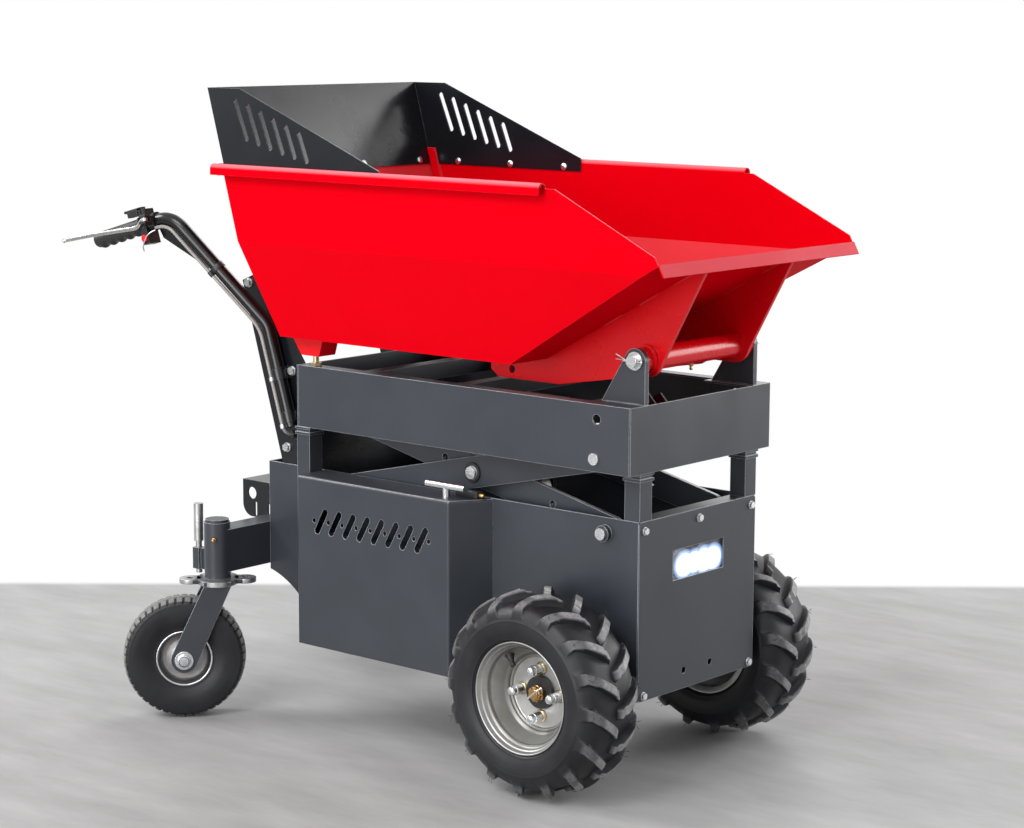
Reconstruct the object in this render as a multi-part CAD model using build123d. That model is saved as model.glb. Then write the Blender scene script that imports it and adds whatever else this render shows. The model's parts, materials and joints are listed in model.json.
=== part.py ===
from build123d import *
import os
from math import atan2, cos, degrees, hypot, radians, sin

# Electric wheelbarrow: a walk-behind dumper with two driven wheels, two casters, a scissor lift and a
# tipping tub. While it is drawn, X points forward, Y to the left and Z up, the drive axle stands above
# the origin and the ground is z = 0; millimetres. At the end every piece is moved so that the middle of
# the machine's footprint becomes the origin. Points written as pairs are (x, z).

# Sheets, plates and fits
PLATE = 4.0
BOX_SHEET = 2.5
TUB_SHEET = 3.0
PANEL_SHEET = 3.0
PLAY = 0.3
RUN = 0.05

# Hex and flange proportions of a screw or nut, as parts of its shank radius
HEX_PART = 1.6
FLANGE_PART = 2.1
FLANGE_T_PART = 0.5
HEAD_T_PART = 1.2

# Chassis
CHASSIS_FRONT = 155.0
CHASSIS_REAR = -885.0
CHASSIS_TOP = 558.0
CHASSIS_BOTTOM = 193.0
CHASSIS_HALF = 196.5
ARCH_HEEL_Z = 312.0
ARCH_MID = (-805.0, 274.0)
ARCH_TOE_X = -740.0
FRONT_FOLD = 27.0
ANGLE_DEPTH = 36.0
ANGLE_WEB = 44.0
BOSS_R = 16.5
BOSS_LEN = 11.5
CHASSIS_IN = CHASSIS_HALF - PLATE

# Drive wheels
WHEEL_R = 210.0
WHEEL_GAP = 28.5
TYRE_W = 160.0
TRACK = 2 * (CHASSIS_HALF + WHEEL_GAP) + TYRE_W
LUG_H = 18.0
LUG_ROWS = 16
LUG_W = 20.0
LUG_BEND = 14.0
LUG_LEAD = 48.0
LUG_END = 4.0
TYRE_WALL = 9.0
SHOULDER_PART = 0.88
BEAD_R = 101.5
RIM_FLANGE = 12.5
RIM_FLANGE_R = BEAD_R + RIM_FLANGE
BEAD_LAND = 20.0
RIM_W = TYRE_W - BEAD_LAND
RIM_SHEET = 3.0
RIM_WELL_DROP = 15.5
RIM_WELL_R = BEAD_R - RIM_WELL_DROP
RIM_WELL_W = 80.0
RIM_DISC = 4.0
RIM_BORE_R = 33.0
HUB_R = 62.0
HUB_FLANGE = 10.0
HUB_NOSE = 8.0
STUD_CIRCLE_R = 49.0
STUD_COUNT = 4
STUD_PHASE = 0.0
STUD_R = 6.0
LUG_NUT_WALL = 4.5
LUG_NUT_R = STUD_R + LUG_NUT_WALL
LUG_NUT_LEN = 40.0
SHAFT_R = 15.0
SHAFT_IN_Y = 2.0
AXLE_THREAD_R = 11.0
CASTLE_ACROSS = 32.0
CASTLE_LEN = 16.0
COTTER_R = 2.0
COTTER_LEN = 36.0

# Front panel and lamp
PANEL_CORNER = 8.0
SCREW_R = 4.0
SCREW_FROM_SIDE = 16.5
SCREW_FROM_TOP = 19.0
SCREW_FROM_LOW = 11.0
PANEL_SCREW_Y = CHASSIS_HALF - SCREW_FROM_SIDE
PANEL_SCREW_TOP = CHASSIS_TOP - SCREW_FROM_TOP
PANEL_SCREW_LOW = CHASSIS_BOTTOM + SCREW_FROM_LOW
PANEL_HOLE_R = 7.0
PANEL_HOLE_SPAN = 89.0
PANEL_HOLE_RISE = 38.0
PANEL_HOLE_Z = CHASSIS_BOTTOM + PANEL_HOLE_RISE
LAMP_W = 172.0
LAMP_H = 62.0
LAMP_DROP = 104.0
LAMP_Z = CHASSIS_TOP - LAMP_DROP
LAMP_DEPTH = 40.0
LAMP_WALL = 4.0
LENS_T = 5.0
LENS_INSET = 4.0
LED_R = 22.0
LED_Y = 42.0
LED_LEN = 12.0

# Battery boxes, packs, controller
BOX_REAR = -718.0
BOX_BEVEL_X = -275.0
BOX_FRONT = -223.0
BOX_WIDE = 81.1
BOX_OUT = CHASSIS_HALF + BOX_WIDE
BOX_BOTTOM = 185.0
BOX_FOLD_R = 8.0
VENT_COUNT = 8
VENT_FROM_REAR = 75.5
VENT_FIRST_X = BOX_REAR + VENT_FROM_REAR
VENT_PITCH = 41.7
VENT_DROP = 94.0
VENT_Z = CHASSIS_TOP - VENT_DROP
VENT_RUN = 12.0
VENT_RISE = 21.0
VENT_R = 7.5
DOT_R = 5.0
PACK_FROM_REAR = 28.0
PACK_REAR = BOX_REAR + PACK_FROM_REAR
PACK_LEN = 360.0
PACK_FRONT = PACK_REAR + PACK_LEN
PACK_TALL = 242.5
PACK_GAP = 4.0
CONTROL_DEPTH = 80.0
CONTROL_HALF = 120.0
CONTROL_LOW = 340.0
CONTROL_TOP = 490.0

# Box latch
LATCH_FROM_BEVEL = 23.0
LATCH_X = BOX_BEVEL_X - LATCH_FROM_BEVEL
LATCH_FROM_SIDE = 19.6
LATCH_Y = BOX_OUT - LATCH_FROM_SIDE
LATCH_STEM_R = 7.5
LATCH_BAR_R = 8.0
LATCH_BAR_LEN = 106.0
LATCH_LIFT = 17.0
LATCH_TAIL = 12.0
LATCH_CAM = 14.0

# Transaxle
AXLE_TUBE_R = 24.0
AXLE_STUB = 18.5
GEARBOX_R = 60.0
GEARBOX_HALF = 55.0
AXLE_FLANGE_R = 45.0
AXLE_FLANGE = 8.0
MOTOR_R = 52.0
MOTOR_X = 20.0
MOTOR_TALL = 230.0

# Rest posts between chassis and tray
POST = 38.0
POST_WALL = 3.0
POST_RISE = 92.0
POST_TOP = CHASSIS_TOP + POST_RISE
COLLAR_LIP = 3.0
COLLAR = POST + 2 * COLLAR_LIP
COLLAR_DROP = 12.0
COLLAR_LOW = POST_TOP - COLLAR_DROP
COLLAR_T = 6.0
POST_FRONT_X = CHASSIS_FRONT + PANEL_SHEET
POST_GAP = 1.0
POST_REAR_X = BOX_REAR - POST_GAP
POST_REAR_DROP = 118.0
POST_REAR_LOW = CHASSIS_TOP - POST_REAR_DROP
STUB_GAP = 2.0
STUB = POST - 2 * POST_WALL - 2 * STUB_GAP
STUB_LEN = 40.0
SHOULDER_T = 4.7

# Tray
TRAY_OVERHANG = 38.5
TRAY_HALF = CHASSIS_HALF + TRAY_OVERHANG
TRAY_INSET = 2.0
TRAY_REAR = POST_REAR_X - POST + TRAY_INSET
TRAY_NOSE = 8.0
TRAY_FRONT = CHASSIS_FRONT + TRAY_NOSE
TRAY_BOTTOM = POST_TOP + PLAY + SHOULDER_T
TRAY_TALL = 135.0
TRAY_TOP = TRAY_BOTTOM + TRAY_TALL
TRAY_FLANGE = 26.0
TRAY_FOOT = 44.0
TRAY_HOLE_R = 10.0
TRAY_HOLE_BACK = 85.0
TRAY_HOLE_X = TRAY_FRONT - TRAY_HOLE_BACK
TRAY_HOLE_DROP = 30.0
TRAY_HOLE_Z = TRAY_TOP - TRAY_HOLE_DROP
TRAY_BOSS_R = 18.0
CROSS_BAR_X = (-330.0, -600.0)
CROSS_BAR = 30.0
CROSS_BAR_DEPTH = 36.0
CLIP_PLATE_HALF = 50.0
CLIP_PLATE_DEPTH = 34.0
CLIP_PLATE_DROP = 20.0
CLIP_PLATE_Z = TRAY_TOP - CLIP_PLATE_DROP
EAR_INSET = 58.0
EAR_IN = TRAY_HALF - EAR_INSET
EAR_T = 12.0
EAR_R = 25.0
EAR_FOOT = 107.0
CAP_LIP = 7.0
TRAY_CAP_IN = EAR_IN - CAP_LIP
CAP_LEN = 123.0
TRAY_CAP_X = TRAY_FRONT - CAP_LEN
REST_BOLT_FROM_REAR = 42.0
REST_BOLT_X = TRAY_REAR + REST_BOLT_FROM_REAR
REST_BOLT_FROM_SIDE = 17.0
REST_BOLT_Y = TRAY_HALF - REST_BOLT_FROM_SIDE
REST_BOLT_R = 6.0
TRAY_IN = TRAY_HALF - PLATE

# Scissor
LIFT_MAX = 38.0
PIVOT_BACK = 83.0
PIVOT_X = CHASSIS_FRONT - PIVOT_BACK
PIVOT_DROP = 32.0
BASE_PIVOT_Z = CHASSIS_TOP - PIVOT_DROP
PIVOT_RISE = 25.0
TRAY_PIVOT_Z = TRAY_BOTTOM + PIVOT_RISE
ARM_RUN = 720.0
ARM_T = 10.0
ARM_GAP = 6.0
ARM_END_R = 28.0
ARM_MID_R = 33.0
PIN_R = 10.0
PIN_HEAD_R = 12.0
PIN_HEAD = 7.0
PIN_COLLAR_R = 14.0
PIN_COLLAR = 5.0
CENTRE_PIN_R = 12.0
CENTRE_HEAD_R = 13.0
CENTRE_HEAD = 6.0
CENTRE_WASHER_R = 16.5
CENTRE_WASHER = 3.0
ARM_HOLE_X = (-85.0, -380.0)
ARM_HOLE_R = 8.0
ROLLER_R = 20.0
TIE_R = 15.0
TIE_RUN = 100.0
TRAY_ARM_OUT = CHASSIS_IN - ARM_GAP
TRAY_ARM_IN = TRAY_ARM_OUT - ARM_T
BASE_ARM_OUT = TRAY_ARM_IN - ARM_GAP
BASE_ARM_IN = BASE_ARM_OUT - ARM_T
BASE_PIVOT = (PIVOT_X, BASE_PIVOT_Z)
TRAY_PIVOT = (PIVOT_X, TRAY_PIVOT_Z)
ARM_CENTRE = (PIVOT_X - ARM_RUN / 2, (BASE_PIVOT_Z + TRAY_PIVOT_Z) / 2)
LOWER_ROLLER = (PIVOT_X - ARM_RUN, BASE_PIVOT_Z)
UPPER_ROLLER = (PIVOT_X - ARM_RUN, TRAY_PIVOT_Z)
ARM_RISE = TRAY_PIVOT_Z - BASE_PIVOT_Z
ARM_LEN = hypot(ARM_RUN, ARM_RISE)
ARM_TOP_ANGLE = degrees(atan2(ARM_RISE, ARM_RUN)) + LIFT_MAX

# Roller rails on the chassis and tracks under the tray, as long as the rollers' travel
RAIL_SPARE = 30.0
RAIL_REAR = LOWER_ROLLER[0] - ROLLER_R - RAIL_SPARE
RAIL_FRONT = PIVOT_X - ARM_LEN * cos(radians(ARM_TOP_ANGLE)) + RAIL_SPARE
RAIL_W = 22.0
ROLLER_GAP = 4.5
RAIL_IN = TRAY_ARM_IN - ROLLER_GAP - RAIL_W
RAIL_DEPTH = 15.7
RAIL_BAR = 10.0
RAIL_BAR_DEPTH = 40.0
RAIL_TOP = BASE_PIVOT_Z - ROLLER_R - PLAY
RAIL_LOW = RAIL_TOP - RAIL_DEPTH
UPPER_ROLLER_GAP = 2.5
UPPER_ROLLER_IN = TRAY_ARM_OUT + UPPER_ROLLER_GAP
UPPER_ROLLER_W = 18.0
TRACK_T = 4.7
TRACK_LIP = 2.0
TRACK_IN = UPPER_ROLLER_IN - TRACK_LIP

# Bucket
TILT_MAX = 70.0
HINGE_BACK = 27.0
HINGE_RISE = 86.0
HINGE = (TRAY_FRONT - HINGE_BACK, TRAY_TOP + HINGE_RISE)
HINGE_PIN_R = 12.5
HINGE_PIN_OVER = 14.0
HINGE_WASHER_R = 18.5
HINGE_WASHER = 3.0
SPLIT_PIN_R = 2.5
SPLIT_PIN_LEN = 44.0
HINGE_TUBE_WALL = 11.5
HINGE_TUBE_R = HINGE_PIN_R + HINGE_TUBE_WALL
COLLAR_WALL = 5.0
HINGE_COLLAR_R = HINGE_TUBE_R + COLLAR_WALL
HINGE_COLLAR = 8.0
FOOT_RISE = 25.0
FOOT_Z = TRAY_TOP + FOOT_RISE
FOOT_TALL = 38.0
FLOOR_Z = FOOT_Z + FOOT_TALL
FLOOR_REAR = -775.0
FLOOR_FRONT = -120.0
BUCKET_HALF = 330.0
SIDE_LEAN = 65.0
FLOOR_HALF = BUCKET_HALF - SIDE_LEAN
FOLD_RISE = 207.0
FOLD_Z = FLOOR_Z + FOLD_RISE
TUB_TALL = 371.0
RIM_TOP = FLOOR_Z + TUB_TALL
RIM_REAR = -883.0
RIM_FRONT = 22.0
LIP_X = 297.0
LIP_RISE = 228.0
LIP = (LIP_X, FLOOR_Z + LIP_RISE)
LIP_FLANGE = 24.0
CHEEK_BACK = 9.0
CHEEK_RISE = 17.0
CHEEK_CORNER = (LIP[0] - CHEEK_BACK, LIP[1] + CHEEK_RISE)
ROLL_R = 11.0
ROLL_SKIRT = 13.0
TAB_W = 22.0
TAB_T = 6.0
TAB_DROP = 74.0
TAB_RISE = 10.0
TAB_GAP = 2.0
RIB_INSET = 35.0
RIB_IN = EAR_IN - RIB_INSET
RIB_T = 8.0
RIB_REAR = -270.0
RIB_REAR_DROP = 34.0
RIB_HEEL = 20.0
RIB_DROP = 49.0
RIB_FLAT_FRONT = -86.0
RIB_NOSE_R = 36.0
RIB_NOSE_RUN = 85.0
RIB_NOSE_ANGLE = -45.0
RIB_NOSE_DROP = 48.0
RIB_FRONT = 284.0
RIB_HOLE_FROM_REAR = 57.0
RIB_HOLE_DROP = 30.0
RIB_HOLE_R = 8.0
FOOT_HALF_IN = 23.0
FOOT_HALF_OUT = 27.0
FOOT_IN = REST_BOLT_Y - FOOT_HALF_IN
FOOT_OUT = REST_BOLT_Y + FOOT_HALF_OUT
FOOT_BEHIND = 18.0
FOOT_AHEAD = 35.0
FOOT_LOW_REAR = REST_BOLT_X - FOOT_BEHIND
FOOT_LOW_FRONT = REST_BOLT_X + FOOT_AHEAD
FOOT_REAR_FLARE = 27.0
FOOT_FRONT_FLARE = 12.0

# Spill guard: its slots lie between two parts of the plate's own height
GUARD_TOP = 1385.0
GUARD_LAP = 27.0
GUARD_LOW = RIM_TOP - GUARD_LAP
GUARD_SHOULDER_X = -828.0
GUARD_FRONT_X = -421.0
GUARD_FRONT_RISE = 3.0
GUARD_FRONT_Z = RIM_TOP + GUARD_FRONT_RISE
GUARD_SLOTS = 6
GUARD_SLOT_TOP_X = (-840.0, -649.0)
GUARD_SLOT_LOW_X = (-807.0, -627.0)
GUARD_SLOT_TOP = (0.85, 0.81)
GUARD_SLOT_LOW = (0.46, 0.386)
GUARD_SLOT_R = 6.0
GUARD_BOLT_X = (-785.0, -626.0, -468.0)
GUARD_BOLT_PART = 0.3
GUARD_BOLT_FROM_SIDE = 44.0
GUARD_BOLT_Y = (BUCKET_HALF * GUARD_BOLT_PART, BUCKET_HALF - GUARD_BOLT_FROM_SIDE)
GUARD_BOLT_RISE = 9.0
GUARD_BOLT_Z = GUARD_LOW + GUARD_BOLT_RISE
GUARD_BOLT_R = 4.0
GUARD_HEAD_R = 8.0
GUARD_HEAD = 4.0
GUARD_NUT = 6.0

# Lift and tilt actuators: both anchors lie on one circle about the joint they drive
LIFT_R = 330.0
LIFT_ANCHOR = 230.0
LIFT_PIN = 176.0
TILT_R = 209.0
TILT_ANCHOR = 260.1
TILT_PIN = 191.0
TILT_ROOT = 35.0
SLOT_SPARE = 1.2
ACT_PIN_R = 8.0
ACT_EYE_WALL = 9.0
ACT_EYE_R = ACT_PIN_R + ACT_EYE_WALL
ACT_EYE_HALF = 13.0
ACT_BARREL_R = 23.0
ACT_WALL = 4.0
ACT_BASE = 10.0
ACT_PISTON = 8.0
ACT_GLAND = 9.0
ACT_ROD_R = 10.0
ACT_NECK = 9.0
ACT_MOTOR_R = 19.0
ACT_MOTOR_GAP = 3.0
ACT_MOTOR_Y = ACT_BARREL_R + ACT_MOTOR_R + ACT_MOTOR_GAP
ACT_MOTOR_LEN = 105.0
ACT_GEAR = 16.0
ACT_MOTOR_BACK = 8.0
CHEEK_T = 8.0
CHEEK_GAP = 6.0
CHEEK_FOOT = 34.0
CHEEK_IN = ACT_EYE_HALF + CHEEK_GAP
CHEEK_OUT = CHEEK_IN + CHEEK_T

# Casters and rear beam
CASTER_X = -914.0
CASTER_Y = 330.0
CASTER_REST = 46.0
CASTER_R = 135.0
CASTER_W = 80.0
CASTER_BEAD_R = 57.0
CASTER_RIM_W = 62.0
CASTER_FLANGE = 5.0
CASTER_DISC = 5.0
CASTER_HUB_R = 16.0
CROWN_T = 10.0
CROWN_ROOM = 29.7
CROWN_HALF_X = 30.0
CROWN_EAR_R = 24.0
CROWN_LOW = 2 * CASTER_R + CROWN_ROOM
CROWN_TOP = CROWN_LOW + CROWN_T
TRAIL = 75.0
LEG_T = 6.0
LEG_GAP = 6.0
LEG_END_R = 29.0
LEG_IN = CASTER_W / 2 + LEG_GAP
LEG_OUT = LEG_IN + LEG_T
CASTER_PIN_R = 8.0
CASTER_WASHER_R = 19.0
CASTER_WASHER = 3.0
CASTER_ACROSS = 24.0
CASTER_HEAD = 8.0
SLEEVE_R = 29.0
SLEEVE_LOW = CROWN_TOP + PLAY
BEAM_RISE = 15.0
BEAM_LOW = SLEEVE_LOW + BEAM_RISE
BEAM_TALL = 95.0
BEAM_TOP = BEAM_LOW + BEAM_TALL
BEAM_DEEP = 58.0
BEAM_REAR = CHASSIS_REAR - BEAM_DEEP
BEAM_WALL = 5.0
SLEEVE_RISE = 16.0
SLEEVE_TOP = BEAM_TOP + SLEEVE_RISE
KING_R = 15.0
KING_CAP_R = 26.0
KING_CAP = 6.0
LOCK_R = 60.0
LOCK_PIN_R = 7.0
LOCK_KNOB_R = 10.5
LOCK_KNOB_LEN = 84.0
LOCK_CLEAR = 3.0
LOCK_HOUSING = 20.0
LOCK_HOUSING_RISE = 12.0
LOCK_HOUSING_LOW = SLEEVE_LOW + LOCK_HOUSING_RISE
LOCK_HOUSING_TALL = 48.0
LOCK_HOUSING_TOP = LOCK_HOUSING_LOW + LOCK_HOUSING_TALL
LOCK_WEB = 8.0
LOCK_X = CASTER_X - LOCK_R
LOCK_PIN_LOW = CROWN_TOP + LOCK_CLEAR
LOCK_KNOB_GAP = 15.0
LOCK_KNOB_LOW = LOCK_HOUSING_TOP + LOCK_KNOB_GAP
LOCK_PIN_TOP = LOCK_KNOB_LOW + LOCK_KNOB_LEN

# Hitch
HITCH_REAR = -1074.0
HITCH_HALF = 100.0
HITCH_GAP = 4.0
HITCH_STEP = BEAM_TOP + HITCH_GAP
HITCH_HOOK = 29.0
HITCH_LOW = HITCH_STEP - HITCH_HOOK
HITCH_BEHIND = 9.0
HITCH_STEP_X = BEAM_REAR - HITCH_BEHIND
HITCH_TALL = 56.0
HITCH_TOP = HITCH_STEP + HITCH_TALL
HITCH_CORNER = 30.0
HITCH_PIN_R = 14.0
HITCH_PIN_INSET = 30.0
HITCH_PIN = (HITCH_REAR + HITCH_PIN_INSET, HITCH_TOP - HITCH_PIN_INSET)
HITCH_SLOT_X = (-1032.0, -988.0)
HITCH_SLOT_RISE = 6.0
HITCH_SLOT_LEN = 26.0
HITCH_SLOT_R = 4.0

# Handle: heights are above the chassis top
STEM_DROP = 68.0
STEM_LOW = CHASSIS_TOP - STEM_DROP
STEM_REAR_LOW = (-825.0, STEM_LOW)
STEM_REAR_TOP = (-968.0, CHASSIS_TOP + 398.0)
STEM_TIP = (-915.0, CHASSIS_TOP + 420.0)
STEM_FRONT_TOP = (-770.0, CHASSIS_TOP + 222.0)
STEM_FOLD = 48.0
STEM_OUT = CHASSIS_IN
STEM_IN = STEM_OUT - PLATE
BAR_R = 15.0
BAR_WALL = 3.0
BAR_GAP = 0.5
BAR_BEND_R = 60.0
BAR_Y = STEM_OUT + BAR_R + BAR_GAP
BAR_FOOT = (-799.5, CHASSIS_TOP + 87.0)
BAR_KNEE = (-872.0, CHASSIS_TOP + 308.0)
BAR_TOP = (-1078.0, CHASSIS_TOP + 541.0)
BAR_TOP_OUT = 92.0
BAR_END = (-1279.0, CHASSIS_TOP + 481.0)
BAR_END_OUT = 112.0
GUSSET_LOW = 180.0
GUSSET_HIGH = 50.0
GUSSET_T = 4.0
STRAP_AT = (9.0, 106.0)
STEM_BOLT_BACK = 31.0
STEM_BOLT_DROP = 26.0
STEM_BOLT = (STEM_TIP[0] - STEM_BOLT_BACK, STEM_TIP[1] - STEM_BOLT_DROP)
STEM_LOW_BOLT = (-830.0, CHASSIS_TOP + 36.0)
STRAP_W = 26.0
STRAP_T = 3.0
STRAP_TAB = 22.0
STEM_BOLT_R = 5.0
GRIP_WALL = 2.5
GRIP_R = BAR_R + GRIP_WALL
GRIP_LEN = 122.0
GRIP_CAP = 6.0
GRIP_RIDGE = 5.0
GRIP_RIDGE_HALF = 9.0
GRIP_RIDGES = 4
POD_GAP = 6.0
POD_W = 19.0
POD_FRONT = -GRIP_LEN - POD_GAP
POD_BACK = POD_FRONT - POD_W
POD_WALL = 4.5
POD_R = BAR_R + POD_WALL
POD_LOW = -46.0
POD_TOP = 33.0
POD_HALF = 15.0
POD_OUTER = 21.0
PERCH_GAP = 2.0
PERCH_W = 19.0
PERCH_FRONT = POD_BACK - PERCH_GAP
PERCH_BACK = PERCH_FRONT - PERCH_W
PERCH_WALL = 5.0
PERCH_R = BAR_R + PERCH_WALL
PERCH_TOP = 42.0
PERCH_HALF = 10.0
LEVER_Z = 33.0
LEVER_HUB_R = 8.0
LEVER_HALF = 4.0
LEVER_PIN_R = 3.0
LEVER_T = 4.0
LEVER_TIP = (105.0, 40.0)
LEVER_SWING = -80.0
LEVER_RISE = -7.0
LEVER_TIP_R = 5.0
LEVER_W = 9.0
PADDLE_GAP = 7.0
PADDLE_WALL = 7.0
PADDLE_R = BAR_R + PADDLE_WALL
PADDLE_TIP = 45.0
PADDLE_PAD = 36.0
PADDLE_PAD_T = 7.0
PADDLE_HALF = 6.0
PADDLE_ANGLE = 12.0
BUTTON_R = 8.0
BUTTON_OUT = 5.0
BUTTON_DEEP = 8.0
BUTTON_TRAVEL = 3.0
BUTTON_Z = -32.0
ROCKER_Z = (-24.5, -38.5)
ROCKER_TALL = 11.0
ROCKER_WIDE = 13.0
ROCKER_OUT = 3.0
ROCKER_DEEP = 6.0
ROCKER_GAP = 1.0
ROCKER_PIN_R = 1.5
CABLE_R = 4.0
CABLE_OFF = 16.0
CABLE_TAIL = 15.0
CABLE_BEND_R = 20.0
CLIP_W = 14.0
CLIP_T = 1.2
GLAND_R = 8.0
GLAND_LEN = 8.0

# Values that follow from the ones above
WHEEL_Y = TRACK / 2
CARCASS_R = WHEEL_R - LUG_H
PANEL_FRONT = CHASSIS_FRONT + PANEL_SHEET

FROM_BASE = (Align.CENTER, Align.CENTER, Align.MIN)


def on_circle(centre, radius, angle):
    """Point (x, z) at an angle, in degrees, measured from +X towards +Z."""
    return (centre[0] + radius * cos(radians(angle)), centre[1] + radius * sin(radians(angle)))


def chord(radius, start, end):
    """Length of the chord between two angles, in degrees, of a circle."""
    return 2 * radius * sin(radians(abs(start - end)) / 2)


def bow(radius, anchor, pin, turn):
    """How far a steadily driven rod falls behind its pin at mid turn: chord there less the ends' mean."""
    ends = chord(radius, anchor, pin) + chord(radius, anchor, pin - turn)
    return chord(radius, anchor, pin - turn / 2) - ends / 2


LIFT_A = on_circle(BASE_PIVOT, LIFT_R, LIFT_ANCHOR)
LIFT_B = on_circle(BASE_PIVOT, LIFT_R, LIFT_PIN)
LIFT_SLOT = bow(LIFT_R, LIFT_ANCHOR, LIFT_PIN, LIFT_MAX) + SLOT_SPARE
TILT_A = on_circle(HINGE, TILT_R, TILT_ANCHOR)
TILT_B = on_circle(HINGE, TILT_R, TILT_PIN)
TILT_SLOT = bow(TILT_R, TILT_ANCHOR, TILT_PIN, TILT_MAX) + SLOT_SPARE


def face_of(*points):
    """Flat face inside a closed row of points."""
    return make_face(Polyline(*points, close=True))


def disc(centre, radius):
    """Round face about a point of the drawing plane."""
    return Pos(*centre) * Circle(radius)


def hull(*circles):
    """Face stretched round circles given as (x, z, r)."""
    edges = []
    for x, z, r in circles:
        edges += disc((x, z), r).edges()
    return make_hull(edges)


def slot(start, end, radius):
    """Round-ended slot between two points."""
    return hull((*start, radius), (*end, radius))


def plate_xz(sketch, y0, y1):
    """Plate from a face drawn as (x, z), between two y planes."""
    return Pos(0, y1, 0) * (Rot(90, 0, 0) * extrude(sketch, amount=y1 - y0))


def plate_xy(sketch, z0, z1):
    """Plate from a face drawn as (x, y), between two z planes."""
    return Pos(0, 0, z0) * extrude(sketch, amount=z1 - z0)


def plate_yz(sketch, x0, x1):
    """Plate from a face drawn as (y, z), between two x planes."""
    return Plane.YZ.offset(x0) * extrude(sketch, amount=x1 - x0)


def block(x0, x1, y0, y1, z0, z1):
    """Box between three pairs of planes."""
    corner = (Align.MIN, Align.MIN, Align.MIN)
    return Pos(x0, y0, z0) * Box(x1 - x0, y1 - y0, z1 - z0, align=corner)


def rod(start, end, radius):
    """Round bar between two points in space."""
    axis = Vector(*end) - Vector(*start)
    return Plane(origin=start, z_dir=axis) * Cylinder(radius, axis.length, align=FROM_BASE)


def rod_y(centre, y0, y1, radius):
    """Round bar along Y about a point (x, z)."""
    return rod((centre[0], y0, centre[1]), (centre[0], y1, centre[1]), radius)


def ring_y(centre, y0, y1, outer, inner):
    """Round tube along Y about a point (x, z)."""
    return rod_y(centre, y0, y1, outer) - rod_y(centre, y0, y1, inner)


def post(x, y, z0, z1, radius):
    """Round bar along Z."""
    return rod((x, y, z0), (x, y, z1), radius)


def screw(at, out, grip, radius):
    """Hex flange screw whose head sits at a point, facing out, with a shank behind it."""
    flange = radius * FLANGE_T_PART
    head = RegularPolygon(radius * HEX_PART, 6, major_radius=False)
    body = Pos(0, 0, -grip) * Cylinder(radius, grip, align=FROM_BASE)
    body += Cylinder(radius * FLANGE_PART, flange, align=FROM_BASE)
    body += Pos(0, 0, flange) * extrude(head, amount=radius * HEAD_T_PART)
    return Plane(origin=at, z_dir=out) * body


def both(part):
    """A right-hand piece and its left-hand mirror image."""
    return [part, mirror(part, about=Plane.XZ)]


def moved_line(start, end, distance):
    """Line moved sideways to its left, as two points."""
    run = hypot(end[0] - start[0], end[1] - start[1])
    dx = -(end[1] - start[1]) / run * distance
    dz = (end[0] - start[0]) / run * distance
    return ((start[0] + dx, start[1] + dz), (end[0] + dx, end[1] + dz))


def meet(first, second):
    """Crossing point of two lines, each given as two points."""
    (x1, z1), (x2, z2) = first
    (x3, z3), (x4, z4) = second
    dx, dz = x2 - x1, z2 - z1
    ex, ez = x4 - x3, z4 - z3
    part = ((x3 - x1) * ez - (z3 - z1) * ex) / (dx * ez - dz * ex)
    return (x1 + part * dx, z1 + part * dz)


def level(z):
    """Horizontal line at a height, as two points."""
    return ((0.0, z), (1.0, z))


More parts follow.
